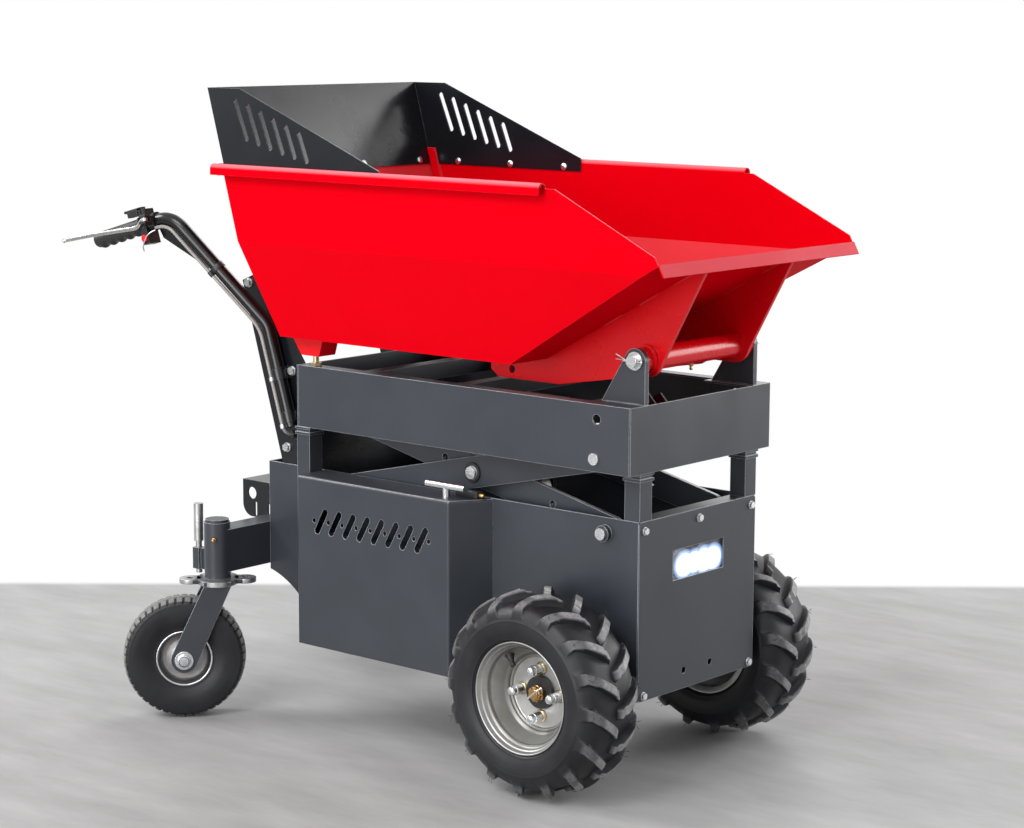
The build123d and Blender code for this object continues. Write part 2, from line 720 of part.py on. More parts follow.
def chassis_frame():
    """Side plates, folds, floor, rear wall, cross members, roller rails and the lift actuator's bracket."""
    edge = Polyline(
        (ARCH_TOE_X, CHASSIS_BOTTOM),
        (CHASSIS_FRONT, CHASSIS_BOTTOM),
        (CHASSIS_FRONT, CHASSIS_TOP),
        (CHASSIS_REAR, CHASSIS_TOP),
        (CHASSIS_REAR, ARCH_HEEL_Z),
    )
    arch = ThreePointArc((CHASSIS_REAR, ARCH_HEEL_Z), ARCH_MID, (ARCH_TOE_X, CHASSIS_BOTTOM))
    side = make_face([*edge.edges(), *arch.edges()])
    side -= disc((0, WHEEL_R), AXLE_TUBE_R)
    side -= disc(BASE_PIVOT, PIN_R)
    plate = plate_xz(side, -CHASSIS_HALF, -CHASSIS_IN)
    boss = ring_y(BASE_PIVOT, -CHASSIS_HALF - BOSS_LEN, -CHASSIS_HALF, BOSS_R, PIN_R)
    fold_in = CHASSIS_IN - FRONT_FOLD
    floor_top = CHASSIS_BOTTOM + PLATE
    angle_low = CHASSIS_TOP - PLATE
    fold = block(CHASSIS_FRONT - PLATE, CHASSIS_FRONT, -CHASSIS_IN, -fold_in, floor_top, angle_low)
    for z in (PANEL_SCREW_TOP, PANEL_SCREW_LOW):
        fold -= rod((0, -PANEL_SCREW_Y, z), (CHASSIS_FRONT, -PANEL_SCREW_Y, z), SCREW_R)
    web = block(CHASSIS_FRONT - PLATE, CHASSIS_FRONT, -fold_in, fold_in, CHASSIS_TOP - ANGLE_WEB, angle_low)
    web -= rod((0, 0, PANEL_SCREW_TOP), (CHASSIS_FRONT, 0, PANEL_SCREW_TOP), SCREW_R)
    angle_rear = CHASSIS_FRONT - ANGLE_DEPTH
    flange = block(angle_rear, CHASSIS_FRONT, -CHASSIS_IN, CHASSIS_IN, angle_low, CHASSIS_TOP)
    floor_rear = block(ARCH_TOE_X, -GEARBOX_R, -CHASSIS_IN, CHASSIS_IN, CHASSIS_BOTTOM, floor_top)
    floor_front = block(GEARBOX_R, CHASSIS_FRONT, -CHASSIS_IN, CHASSIS_IN, CHASSIS_BOTTOM, floor_top)
    wall = block(CHASSIS_REAR, CHASSIS_REAR + PLATE, -CHASSIS_IN, CHASSIS_IN, ARCH_HEEL_Z, CHASSIS_TOP)
    rail = block(RAIL_REAR, RAIL_FRONT, -RAIL_IN - RAIL_W, -RAIL_IN, RAIL_LOW, RAIL_TOP)
    bars = []
    for x in (RAIL_REAR, RAIL_FRONT - RAIL_BAR):
        bars.append(block(x, x + RAIL_BAR, -CHASSIS_IN, CHASSIS_IN, RAIL_LOW - RAIL_BAR_DEPTH, RAIL_LOW))
    foot = Line((LIFT_A[0] - CHEEK_FOOT, floor_top), (LIFT_A[0] + CHEEK_FOOT, floor_top))
    cheek = make_hull([*disc(LIFT_A, ACT_EYE_R).edges(), *foot.edges()]) - disc(LIFT_A, ACT_PIN_R)
    cheek = plate_xz(cheek, -CHEEK_OUT, -CHEEK_IN)
    pin = rod_y(LIFT_A, -CHEEK_OUT, CHEEK_OUT, ACT_PIN_R)
    parts = both(plate) + both(boss) + both(fold) + both(rail) + both(cheek)
    return parts + [web, flange, floor_rear, floor_front, wall, pin] + bars


def panel_screw_places():
    """The (y, z) of the front panel's screws."""
    top = [(y, PANEL_SCREW_TOP) for y in (-PANEL_SCREW_Y, 0.0, PANEL_SCREW_Y)]
    return top + [(y, PANEL_SCREW_LOW) for y in (-PANEL_SCREW_Y, PANEL_SCREW_Y)]


def front_panel():
    """Flat cover on the chassis front with a lamp window and an accessory hole pair."""
    middle = (CHASSIS_TOP + CHASSIS_BOTTOM) / 2
    face = Pos(0, middle) * RectangleRounded(2 * CHASSIS_HALF, CHASSIS_TOP - CHASSIS_BOTTOM, PANEL_CORNER)
    face -= Pos(0, LAMP_Z) * Rectangle(LAMP_W, LAMP_H)
    for place in panel_screw_places():
        face -= disc(place, SCREW_R)
    for y in (-PANEL_HOLE_SPAN / 2, PANEL_HOLE_SPAN / 2):
        face -= disc((y, PANEL_HOLE_Z), PANEL_HOLE_R)
    return [plate_yz(face, CHASSIS_FRONT, PANEL_FRONT)]


def headlamp_housing():
    """Open box behind the panel's window with two LED seats."""
    half, tall = LAMP_W / 2, LAMP_H / 2
    back = CHASSIS_FRONT - LAMP_DEPTH
    inner_back = back + LAMP_WALL
    wall = LAMP_WALL
    box = block(back, CHASSIS_FRONT, -half - wall, half + wall, LAMP_Z - tall - wall, LAMP_Z + tall + wall)
    box -= block(inner_back, CHASSIS_FRONT, -half, half, LAMP_Z - tall, LAMP_Z + tall)
    for y in (-LED_Y, LED_Y):
        box += rod((inner_back, y, LAMP_Z), (inner_back + LED_LEN, y, LAMP_Z), LED_R)
    return [box]


def headlamp_lens():
    """Clear plate set back in the lamp window."""
    front = PANEL_FRONT - LENS_INSET
    return [block(front - LENS_T, front, -LAMP_W / 2, LAMP_W / 2, LAMP_Z - LAMP_H / 2, LAMP_Z + LAMP_H / 2)]


def battery_box():
    """Right side box of folded sheet, open towards the chassis, with slanted vents."""
    rear_out = (BOX_REAR, -BOX_OUT)
    bevel = (BOX_BEVEL_X, -BOX_OUT)
    front_in = (BOX_FRONT, -CHASSIS_HALF)
    plan = face_of((BOX_REAR, -CHASSIS_HALF), rear_out, bevel, front_in)
    box = plate_xy(plan, BOX_BOTTOM, CHASSIS_TOP)
    corners = box.edges().filter_by(Axis.Z).sort_by(Axis.Y)[:2]
    box = fillet(corners, BOX_FOLD_R)
    top = box.faces().sort_by(Axis.Z)[-1]
    box = fillet([edge for edge in top.edges() if edge.center().Y < -CHASSIS_HALF - PLAY], BOX_FOLD_R)
    side_line = ((BOX_REAR, -BOX_OUT + BOX_SHEET), (BOX_FRONT, -BOX_OUT + BOX_SHEET))
    bevel_line = moved_line(bevel, front_in, BOX_SHEET)
    wall_line = ((BOX_REAR, -CHASSIS_HALF), (BOX_FRONT, -CHASSIS_HALF))
    inside = face_of(
        (BOX_REAR + BOX_SHEET, -CHASSIS_HALF),
        (BOX_REAR + BOX_SHEET, -BOX_OUT + BOX_SHEET),
        meet(side_line, bevel_line),
        meet(wall_line, bevel_line),
    )
    inside = plate_xy(inside, BOX_BOTTOM + BOX_SHEET, CHASSIS_TOP - BOX_SHEET)
    cuts = []
    for index in range(VENT_COUNT):
        x = VENT_FIRST_X + VENT_PITCH * index
        vent = slot((x + VENT_RUN, VENT_Z + VENT_RISE), (x - VENT_RUN, VENT_Z - VENT_RISE), VENT_R)
        cuts.append(plate_xz(vent, -BOX_OUT, -BOX_OUT + BOX_SHEET))
    for index in range(VENT_COUNT + 1):
        x = VENT_FIRST_X + VENT_PITCH * (index - 0.5)
        cuts.append(rod_y((x, VENT_Z), -BOX_OUT, -BOX_OUT + BOX_SHEET, DOT_R))
    cuts.append(post(LATCH_X, -LATCH_Y, CHASSIS_TOP - BOX_SHEET, CHASSIS_TOP, LATCH_STEM_R + RUN))
    return box - inside - cuts


def battery_packs():
    """Sealed packs standing in the boxes."""
    low = BOX_BOTTOM + BOX_SHEET
    outer = BOX_OUT - BOX_SHEET - PACK_GAP
    return both(block(PACK_REAR, PACK_FRONT, -outer, -CHASSIS_HALF - PACK_GAP, low, low + PACK_TALL))


def motor_controller():
    """Electronics case on the rear wall."""
    back = CHASSIS_REAR + PLATE
    return [block(back, back + CONTROL_DEPTH, -CONTROL_HALF, CONTROL_HALF, CONTROL_LOW, CONTROL_TOP)]


def drive_transaxle():
    """Axle tube with gearbox, mounting flanges and upright motor."""
    axle = (0.0, WHEEL_R)
    reach = CHASSIS_HALF + AXLE_STUB
    unit = rod_y(axle, -reach, reach, AXLE_TUBE_R)
    unit += rod_y(axle, -GEARBOX_HALF, GEARBOX_HALF, GEARBOX_R)
    for y in (-CHASSIS_IN, CHASSIS_IN - AXLE_FLANGE):
        unit += rod_y(axle, y, y + AXLE_FLANGE, AXLE_FLANGE_R)
    unit += post(MOTOR_X, 0, WHEEL_R + GEARBOX_R / 2, WHEEL_R + MOTOR_TALL, MOTOR_R)
    return [unit - rod_y(axle, -reach, reach, SHAFT_R + RUN)]


def square_tube(x, y, z0, z1, outer, inner):
    """Upright square tube about an axis."""
    return plate_xy(Pos(x, y) * (Rectangle(outer, outer) - Rectangle(inner, inner)), z0, z1)


def post_places():
    """Axes (x, y) of the right front and right rear rest posts."""
    front = (POST_FRONT_X - POST / 2, -CHASSIS_HALF + POST / 2)
    rear = (POST_REAR_X - POST / 2, -CHASSIS_HALF - POST / 2)
    return front, rear


def tray_rest_posts():
    """Square tubes with collars that carry the lowered tray."""
    parts = []
    for (x, y), low in zip(post_places(), (CHASSIS_TOP, POST_REAR_LOW)):
        tube = square_tube(x, y, low, POST_TOP, POST, POST - 2 * POST_WALL)
        tube += square_tube(x, y, COLLAR_LOW, COLLAR_LOW + COLLAR_T, COLLAR, POST - 2 * POST_WALL)
        parts += both(tube)
    return parts


def scissor_base_pins():
    """Headed pins that hold the base arms in the chassis."""
    inner = -BASE_ARM_IN + PLAY
    outer = -CHASSIS_HALF - BOSS_LEN
    pin = rod_y(BASE_PIVOT, outer, inner + PIN_COLLAR, PIN_R)
    pin += rod_y(BASE_PIVOT, outer - PIN_HEAD, outer, PIN_HEAD_R)
    pin += rod_y(BASE_PIVOT, inner, inner + PIN_COLLAR, PIN_COLLAR_R)
    return both(pin)


def caster_beam():
    """Box beam across the rear with swivel sleeves and lock pin housings."""
    beam = block(BEAM_REAR, CHASSIS_REAR, -CASTER_Y, CASTER_Y, BEAM_LOW, BEAM_TOP)
    beam -= block(
        BEAM_REAR + BEAM_WALL,
        CHASSIS_REAR - BEAM_WALL,
        -CASTER_Y,
        CASTER_Y,
        BEAM_LOW + BEAM_WALL,
        BEAM_TOP - BEAM_WALL,
    )
    for y in (-CASTER_Y, CASTER_Y):
        beam -= post(CASTER_X, y, BEAM_LOW, BEAM_TOP, SLEEVE_R)
        beyond = SLEEVE_R if y > 0 else -SLEEVE_R
        beam -= block(BEAM_REAR, CHASSIS_REAR, min(y, y + beyond), max(y, y + beyond), BEAM_LOW, BEAM_TOP)
    sleeve = post(CASTER_X, -CASTER_Y, SLEEVE_LOW, SLEEVE_TOP, SLEEVE_R)
    half = LOCK_HOUSING / 2
    housing = block(
        LOCK_X - half,
        LOCK_X + half,
        -CASTER_Y - half,
        -CASTER_Y + half,
        LOCK_HOUSING_LOW,
        LOCK_HOUSING_TOP,
    )
    web = block(
        LOCK_X,
        CASTER_X,
        -CASTER_Y - LOCK_WEB / 2,
        -CASTER_Y + LOCK_WEB / 2,
        LOCK_HOUSING_LOW,
        LOCK_HOUSING_TOP,
    )
    sleeve += housing + web
    sleeve -= post(CASTER_X, -CASTER_Y, SLEEVE_LOW, SLEEVE_TOP, KING_R + RUN)
    sleeve -= post(LOCK_X, -CASTER_Y, LOCK_HOUSING_LOW, LOCK_HOUSING_TOP, LOCK_PIN_R + RUN)
    return [beam] + both(sleeve)


def hitch_bracket():
    """Tow bracket on the rear wall: two cheeks with a pin bore, a top plate and a back plate."""
    front = CHASSIS_REAR - PLATE
    corner = (HITCH_REAR + HITCH_CORNER, HITCH_LOW + HITCH_CORNER)
    cheek = face_of(
        (front, HITCH_STEP),
        (front, HITCH_TOP),
        (HITCH_REAR, HITCH_TOP),
        (HITCH_REAR, corner[1]),
        corner,
        (corner[0], HITCH_LOW),
        (HITCH_STEP_X, HITCH_LOW),
        (HITCH_STEP_X, HITCH_STEP),
    )
    cheek += disc(corner, HITCH_CORNER)
    cheek -= disc(HITCH_PIN, HITCH_PIN_R)
    slot_low = HITCH_LOW + HITCH_SLOT_RISE
    for x in HITCH_SLOT_X:
        cheek -= slot((x, slot_low), (x, slot_low + HITCH_SLOT_LEN), HITCH_SLOT_R)
    inner = HITCH_HALF - PLATE
    top = block(HITCH_REAR, front, -inner, inner, HITCH_TOP - PLATE, HITCH_TOP)
    back = block(front, CHASSIS_REAR, -HITCH_HALF, HITCH_HALF, HITCH_STEP, HITCH_TOP)
    return both(plate_xz(cheek, -HITCH_HALF, -inner)) + [top, back]


def bar_points():
    """Corner points of the right handle tube's centre line."""
    return [
        Vector(BAR_FOOT[0], -BAR_Y, BAR_FOOT[1]),
        Vector(BAR_KNEE[0], -BAR_Y, BAR_KNEE[1]),
        Vector(BAR_TOP[0], -BAR_Y - BAR_TOP_OUT, BAR_TOP[1]),
        Vector(BAR_END[0], -BAR_Y - BAR_END_OUT, BAR_END[1]),
    ]


def grip_frame():
    """Frame at the right tube's end: x out along the grip, z up, y outboard."""
    along = (bar_points()[3] - bar_points()[2]).normalized()
    up = Vector(0, 0, 1) - along * along.Z
    return Plane(origin=bar_points()[3], x_dir=along, z_dir=up)


def strap_frame(distance):
    """Frame on the right tube's lower run: z along the tube, y outboard, x square to both."""
    foot, knee = bar_points()[:2]
    along = (knee - foot).normalized()
    outboard = Vector(0, -1, 0)
    return Plane(origin=foot + along * distance, x_dir=outboard.cross(along), z_dir=along)


def handle_plates():
    """Upright plates inside the chassis sides with folded fronts, a sheet between them and tube straps."""
    outline = face_of(
        STEM_REAR_LOW,
        STEM_REAR_TOP,
        STEM_TIP,
        STEM_FRONT_TOP,
        (STEM_FRONT_TOP[0], STEM_LOW),
    )
    plate = plate_xz(outline, -STEM_OUT, -STEM_IN)
    for hole in stem_bolt_places():
        plate -= rod_y((hole.X, hole.Z), -STEM_OUT, -STEM_IN, STEM_BOLT_R)
    fold = block(
        STEM_FRONT_TOP[0] - PLATE,
        STEM_FRONT_TOP[0],
        -STEM_IN,
        -STEM_IN + STEM_FOLD,
        STEM_LOW,
        STEM_FRONT_TOP[1],
    )
    sheet_half = STEM_IN - STEM_FOLD
    sheet = block(
        STEM_FRONT_TOP[0] - PLATE,
        STEM_FRONT_TOP[0],
        -sheet_half,
        sheet_half,
        STEM_LOW,
        STEM_FRONT_TOP[1],
    )
    parts = both(plate) + both(fold) + [sheet]
    inner = BAR_R
    outer = BAR_R + STRAP_T
    drop = -BAR_R - BAR_GAP
    arc = Circle(outer) + Pos(0, drop / 2) * Rectangle(2 * outer, -drop)
    arc -= Circle(inner) + Pos(0, drop / 2) * Rectangle(2 * inner, -drop)
    arc -= Pos(0, drop - outer) * Rectangle(2 * outer, 2 * outer)
    for side in (-1, 1):
        arc += Pos(side * (inner + STRAP_TAB / 2 + STRAP_T / 2), drop + STRAP_T / 2) * Rectangle(
            STRAP_TAB + STRAP_T, STRAP_T
        )
    for distance in STRAP_AT:
        strap = strap_frame(distance) * extrude(arc, amount=STRAP_W)
        for hole in strap_bolt_places(distance):
            strap -= rod(hole - Vector(0, STRAP_T, 0), hole + Vector(0, STRAP_T, 0), STEM_BOLT_R)
        parts += both(strap)
    return parts


def strap_bolt_places(distance):
    """Points on the outer face of a right strap's tabs."""
    frame = strap_frame(distance)
    side = BAR_R + STRAP_T + STRAP_TAB / 2
    face = -BAR_R - BAR_GAP + STRAP_T
    return [frame.from_local_coords(Vector(x, face, STRAP_W / 2)) for x in (-side, side)]


def stem_bolt_places():
    """Seats of the bolts through the right handle plate: two per strap, one at the top and one low down."""
    places = [hole for distance in STRAP_AT for hole in strap_bolt_places(distance)]
    return places + [Vector(x, -STEM_OUT, z) for x, z in (STEM_BOLT, STEM_LOW_BOLT)]


def handlebar():
    """Right bent tube with a web under its top bend."""
    points = bar_points()
    path = FilletPolyline(*points, radius=BAR_BEND_R)
    start = Plane(origin=points[0], z_dir=points[1] - points[0])
    solid = sweep(start * Circle(BAR_R), path=path)
    tube = sweep(start * (Circle(BAR_R) - Circle(BAR_R - BAR_WALL)), path=path)
    low = points[2] + (points[1] - points[2]).normalized() * GUSSET_LOW
    high = points[2] + (points[3] - points[2]).normalized() * GUSSET_HIGH
    web = face_of(points[2], low, high)
    web = extrude(web, amount=GUSSET_T / 2, both=True) - solid
    return [tube, web]


def chassis_bolts():
    """Panel screws and the handle straps' bolts."""
    parts = []
    for y, z in panel_screw_places():
        parts.append(screw((PANEL_FRONT, y, z), (1, 0, 0), PANEL_SHEET + PLATE, SCREW_R))
    for hole in stem_bolt_places():
        parts += both(screw(hole, (0, -1, 0), -STEM_IN - hole.Y, STEM_BOLT_R))
    return parts


def grip():
    """Right rubber grip with a closed end and finger ridges."""
    body = rod((-GRIP_LEN, 0, 0), (GRIP_CAP, 0, 0), GRIP_R)
    pitch = GRIP_LEN / (GRIP_RIDGES + 1)
    low = -GRIP_R - GRIP_RIDGE
    for index in range(GRIP_RIDGES + 1):
        x = -GRIP_LEN + pitch * index
        body += rod((x, -GRIP_RIDGE_HALF, low + pitch / 4), (x, GRIP_RIDGE_HALF, low + pitch / 4), pitch / 4)
        body += block(x - pitch / 4, x + pitch / 4, -GRIP_RIDGE_HALF, GRIP_RIDGE_HALF, low + pitch / 4, 0)
    body -= block(-GRIP_LEN - pitch, -GRIP_LEN, -GRIP_R, GRIP_R, low, 0)
    return grip_frame() * (body - rod((-GRIP_LEN, 0, 0), (0, 0, 0), BAR_R))


def lever_pivot():
    """Right brake lever's pivot in the grip frame, as (x, z)."""
    return ((PERCH_BACK + PERCH_FRONT) / 2, LEVER_Z)


def beside_grip():
    """Move that takes a lever drawn over the grip to the grip's outer side and tips it about its pivot."""
    x, _ = lever_pivot()
    return Rot(LEVER_SWING, 0, 0) * Pos(x, 0, 0) * Rot(0, 0, LEVER_RISE) * Pos(-x, 0, 0)


def perch():
    """Clamp ring on the right tube with a slotted boss for the brake lever, in the grip frame."""
    gap = LEVER_HALF + PLAY
    boss = block(PERCH_BACK, PERCH_FRONT, -PERCH_HALF, PERCH_HALF, 0, PERCH_TOP)
    boss -= block(2 * PERCH_BACK, 0, -gap, gap, LEVER_Z - LEVER_HUB_R - PLAY, PERCH_TOP)
    body = rod((PERCH_BACK, 0, 0), (PERCH_FRONT, 0, 0), PERCH_R) + beside_grip() * boss
    return body - rod((2 * PERCH_BACK, 0, 0), (0, 0, 0), BAR_R)


def perch_pin():
    """Pin of the brake lever, in the grip frame."""
    return beside_grip() * rod_y(lever_pivot(), -PERCH_HALF, PERCH_HALF, LEVER_PIN_R)


def pod():
    """Switch housing under the tube, next to the grip, in the grip frame."""
    body = rod((POD_BACK, 0, 0), (POD_FRONT, 0, 0), POD_R)
    body += block(POD_BACK, POD_FRONT, -POD_HALF, POD_OUTER, POD_LOW, 0)
    return body - rod((POD_BACK, 0, 0), (POD_FRONT, 0, 0), BAR_R)


def pod_middle():
    """Middle of the switch housings along the grip."""
    return (POD_BACK + POD_FRONT) / 2


def control_clamp_right():
    """Right lever perch with its pin, and the throttle and button housing."""
    middle = pod_middle()
    gap = PADDLE_GAP / 2
    body = pod() + block(POD_BACK, POD_FRONT, -POD_HALF, POD_HALF, 0, POD_TOP)
    body -= rod((POD_BACK, 0, 0), (POD_FRONT, 0, 0), BAR_R)
    body -= rod((middle - gap, 0, 0), (middle + gap, 0, 0), PADDLE_R + PLAY)
    body -= block(middle - gap, middle + gap, -PADDLE_R - PLAY, PADDLE_R + PLAY, 0, POD_TOP)
    body += block(middle - gap, middle + gap, -POD_HALF, POD_OUTER, POD_LOW, -PADDLE_R - PLAY)
    button = (middle, POD_OUTER - BUTTON_DEEP - BUTTON_TRAVEL, BUTTON_Z)
    body -= rod(button, (middle, POD_OUTER, BUTTON_Z), BUTTON_R + RUN)
    holes = perch() - perch_pin()
    return [grip_frame() * body, grip_frame() * holes, grip_frame() * perch_pin()]


def rocker_axis(z):
    """End points of a rocker's pivot in the grip frame, across the left housing's inboard face."""
    y = -POD_HALF + ROCKER_DEEP / 2
    return Vector(pod_middle() - ROCKER_WIDE / 2, y, z), Vector(pod_middle() + ROCKER_WIDE / 2, y, z)


def control_clamp_left():
    """Left lever perch with its pin, and the housing with pockets for the two rockers."""
    body = pod()
    middle = pod_middle()
    half = ROCKER_WIDE / 2 + ROCKER_GAP
    tall = ROCKER_TALL / 2 + ROCKER_GAP
    deep = -POD_HALF + ROCKER_DEEP + ROCKER_GAP
    for z in ROCKER_Z:
        body -= block(middle - half, middle + half, -POD_HALF, deep, z - tall, z + tall)
        start, end = rocker_axis(z)
        body += rod(start - Vector(ROCKER_GAP, 0, 0), end + Vector(ROCKER_GAP, 0, 0), ROCKER_PIN_R)
    holes = perch() - perch_pin()
    parts = [grip_frame() * body, grip_frame() * holes, grip_frame() * perch_pin()]
    return [mirror(part, about=Plane.XZ) for part in parts]


def rocker(z):
    """One rocker of the left housing."""
    half = ROCKER_WIDE / 2
    middle = pod_middle()
    tall = ROCKER_TALL / 2
    face = -POD_HALF - ROCKER_OUT
    body = block(middle - half, middle + half, face, -POD_HALF + ROCKER_DEEP, z - tall, z + tall)
    start, end = rocker_axis(z)
    body -= rod(start, end, ROCKER_PIN_R + RUN)
    return mirror(grip_frame() * body, about=Plane.XZ)


def brake_lever():
    """Right brake lever: a hub in the perch and a flat straight blade beside the grip."""
    x, z = lever_pivot()
    half = LEVER_T / 2
    blade = hull((x, z, half), (*LEVER_TIP, half)) + disc(LEVER_TIP, LEVER_TIP_R)
    neck = PERCH_FRONT + PLAY
    outer = plate_xz(blade, -LEVER_W, LEVER_W)
    outer -= block(PERCH_BACK, neck, -LEVER_W, LEVER_W, 0, PERCH_TOP)
    body = outer + plate_xz(blade + disc((x, z), LEVER_HUB_R), -LEVER_HALF, LEVER_HALF)
    body -= rod_y((x, z), -LEVER_HALF, LEVER_HALF, LEVER_PIN_R + RUN)
    return grip_frame() * (beside_grip() * body)


def throttle_lever():
    """Thumb paddle on a ring that turns about the right tube."""
    middle = pod_middle()
    half = PADDLE_GAP / 2 - PLAY
    body = rod((middle - half, 0, 0), (middle + half, 0, 0), PADDLE_R)
    paddle = block(middle - half, middle + half, -PADDLE_HALF, PADDLE_HALF, 0, PADDLE_TIP)
    pad_low = PADDLE_TIP - PADDLE_PAD_T
    paddle += block(middle - half, middle + PADDLE_PAD, -PADDLE_HALF, PADDLE_HALF, pad_low, PADDLE_TIP)
    body += Rot(PADDLE_ANGLE, 0, 0) * paddle
    return grip_frame() * (body - rod((middle - half, 0, 0), (middle + half, 0, 0), BAR_R + RUN))


def red_button():
    """Push button on the right housing's outboard face."""
    middle = pod_middle()
    inner = (middle, POD_OUTER - BUTTON_DEEP, BUTTON_Z)
    return grip_frame() * rod(inner, (middle, POD_OUTER + BUTTON_OUT, BUTTON_Z), BUTTON_R)


def control_cables():
    """Cables strapped along both handle tubes from a gland in the handle plate, with their clips."""
    points = bar_points()
    along = [(points[i + 1] - points[i]).normalized() for i in range(3)]
    below = [step.cross(Vector(0, -1, 0)).normalized() for step in along]
    below = [way if way.Z < 0 else way * -1 for way in below]
    aside = [step.cross(way).normalized() for step, way in zip(along, below)]
    aside = [way if way.Y < 0 else way * -1 for way in aside]
    corners = []
    for i in range(2):
        miter = (below[i] + below[i + 1]).normalized()
        side = (aside[i] + aside[i + 1]).normalized()
        corners.append(points[i + 1] + miter * (CABLE_OFF / miter.dot(below[i])) + side * CABLE_OFF)
    turn = points[0] + (below[0] + aside[0]) * CABLE_OFF - along[0] * CABLE_TAIL
    gland_at = Vector(turn.X, -STEM_OUT, turn.Z)
    last = corners[1] + along[2] * ((points[3] - corners[1]).dot(along[2]) + PERCH_BACK)
    bend = BAR_BEND_R - CABLE_OFF
    path = FilletPolyline(gland_at, turn, *corners, last, radius=(CABLE_BEND_R, bend, bend))
    cable = sweep(Plane(origin=gland_at, z_dir=turn - gland_at) * Circle(CABLE_R), path=path)
    gland_end = gland_at - Vector(0, GLAND_LEN, 0)
    gland = rod(gland_at, gland_end, GLAND_R) - rod(gland_at, gland_end, CABLE_R)
    middle = (points[1] + points[2]) * 0.5
    clip_end = middle + along[1] * CLIP_W
    clip = rod(middle, clip_end, BAR_R + CLIP_T) - rod(middle, clip_end, BAR_R)
    return both(cable) + both(gland) + both(clip)


def as_wheel(part):
    """Wheel drawn about X, outboard positive, put on the right end of the drive axle."""
    return Pos(0, -WHEEL_Y, WHEEL_R) * (Rot(0, 0, -90) * part)


def tyre_face(half, tread_r, shoulder_r, bead_half, bead_r, flange_r):
    """Section of a tyre as (across, radius), straight behind the rim flange and bulging above it."""
    waist = (shoulder_r + flange_r) / 2
    edge = half * SHOULDER_PART
    edges = [
        Polyline((bead_half, flange_r), (bead_half, bead_r), (-bead_half, bead_r), (-bead_half, flange_r)),
        ThreePointArc((bead_half, flange_r), (half, waist), (edge, shoulder_r)),
        ThreePointArc((edge, shoulder_r), (0, tread_r), (-edge, shoulder_r)),
        ThreePointArc((-edge, shoulder_r), (-half, waist), (-bead_half, flange_r)),
    ]
    return make_face([edge for curve in edges for edge in curve.edges()])


def drive_tyre():
    """Right drive tyre: hollow carcass with two staggered rows of curved lugs."""
    half = TYRE_W / 2
    bead_half = RIM_W / 2 - RIM_SHEET
    shoulder = CARCASS_R - TYRE_WALL / 2
    carcass = revolve(tyre_face(half, CARCASS_R, shoulder, bead_half, BEAD_R, RIM_FLANGE_R), axis=Axis.X)
    envelope = face_of(
        (half, BEAD_R),
        (half, CARCASS_R - LUG_H / 2),
        (half - LUG_H / 3, WHEEL_R - LUG_H / 3),
        (half - LUG_H, WHEEL_R),
        (LUG_H - half, WHEEL_R),
        (LUG_H / 3 - half, WHEEL_R - LUG_H / 3),
        (-half, CARCASS_R - LUG_H / 2),
        (-half, BEAD_R),
    )
    envelope = revolve(envelope, axis=Axis.X)
    knee = half / 2
    lug = face_of(
        (half, -LUG_W / 2),
        (half, LUG_W / 2),
        (knee, LUG_W / 2 + LUG_BEND),
        (LUG_END, LUG_W / 2 + LUG_LEAD),
        (LUG_END, LUG_LEAD - LUG_W / 2),
        (knee, LUG_BEND - LUG_W / 2),
    )
    lug = plate_xy(lug, CARCASS_R - LUG_H, WHEEL_R + LUG_H) & envelope
    pitch = 360 / LUG_ROWS
    other = mirror(lug, about=Plane.YZ)
    lugs = []
    for index in range(LUG_ROWS):
        lugs.append(Rot(pitch * index, 0, 0) * lug)
        lugs.append(Rot(pitch * (index + 0.5), 0, 0) * other)
    tyre = carcass + lugs
    cavity = tyre_face(
        half - TYRE_WALL,
        CARCASS_R - TYRE_WALL,
        shoulder - TYRE_WALL,
        bead_half - TYRE_WALL,
        BEAD_R,
        RIM_FLANGE_R,
    )
    return as_wheel(tyre - revolve(cavity, axis=Axis.X))


def drive_rim():
    """Right drive rim: dropped barrel with flanges and a recessed disc."""
    half, well = RIM_W / 2, RIM_WELL_W / 2
    seat = BEAD_R
    step = RIM_WELL_R + RIM_SHEET
    slope = seat - step
    barrel = face_of(
        (half, RIM_FLANGE_R),
        (half - RIM_SHEET, RIM_FLANGE_R),
        (half - RIM_SHEET, seat),
        (well + slope, seat),
        (well, step),
        (-well, step),
        (-well - slope, seat),
        (RIM_SHEET - half, seat),
        (RIM_SHEET - half, RIM_FLANGE_R),
        (-half, RIM_FLANGE_R),
        (-half, seat - RIM_SHEET),
        (-well - slope, seat - RIM_SHEET),
        (-well, RIM_WELL_R),
        (well, RIM_WELL_R),
        (well + slope, seat - RIM_SHEET),
        (half, seat - RIM_SHEET),
    )
    disc_face = face_of((0, RIM_BORE_R), (0, RIM_WELL_R), (-RIM_DISC, RIM_WELL_R), (-RIM_DISC, RIM_BORE_R))
    rim = revolve(barrel, axis=Axis.X) + revolve(disc_face, axis=Axis.X)
    for at in stud_places():
        rim -= rod((-RIM_DISC, *at), (0, *at), STUD_R)
    return as_wheel(rim)


def stud_places():
    """Centres of the wheel studs as (y, z) about the wheel's axis."""
    turn = 360 / STUD_COUNT
    turns = [turn * (index + STUD_PHASE) for index in range(STUD_COUNT)]
    return [on_circle((0.0, 0.0), STUD_CIRCLE_R, angle) for angle in turns]


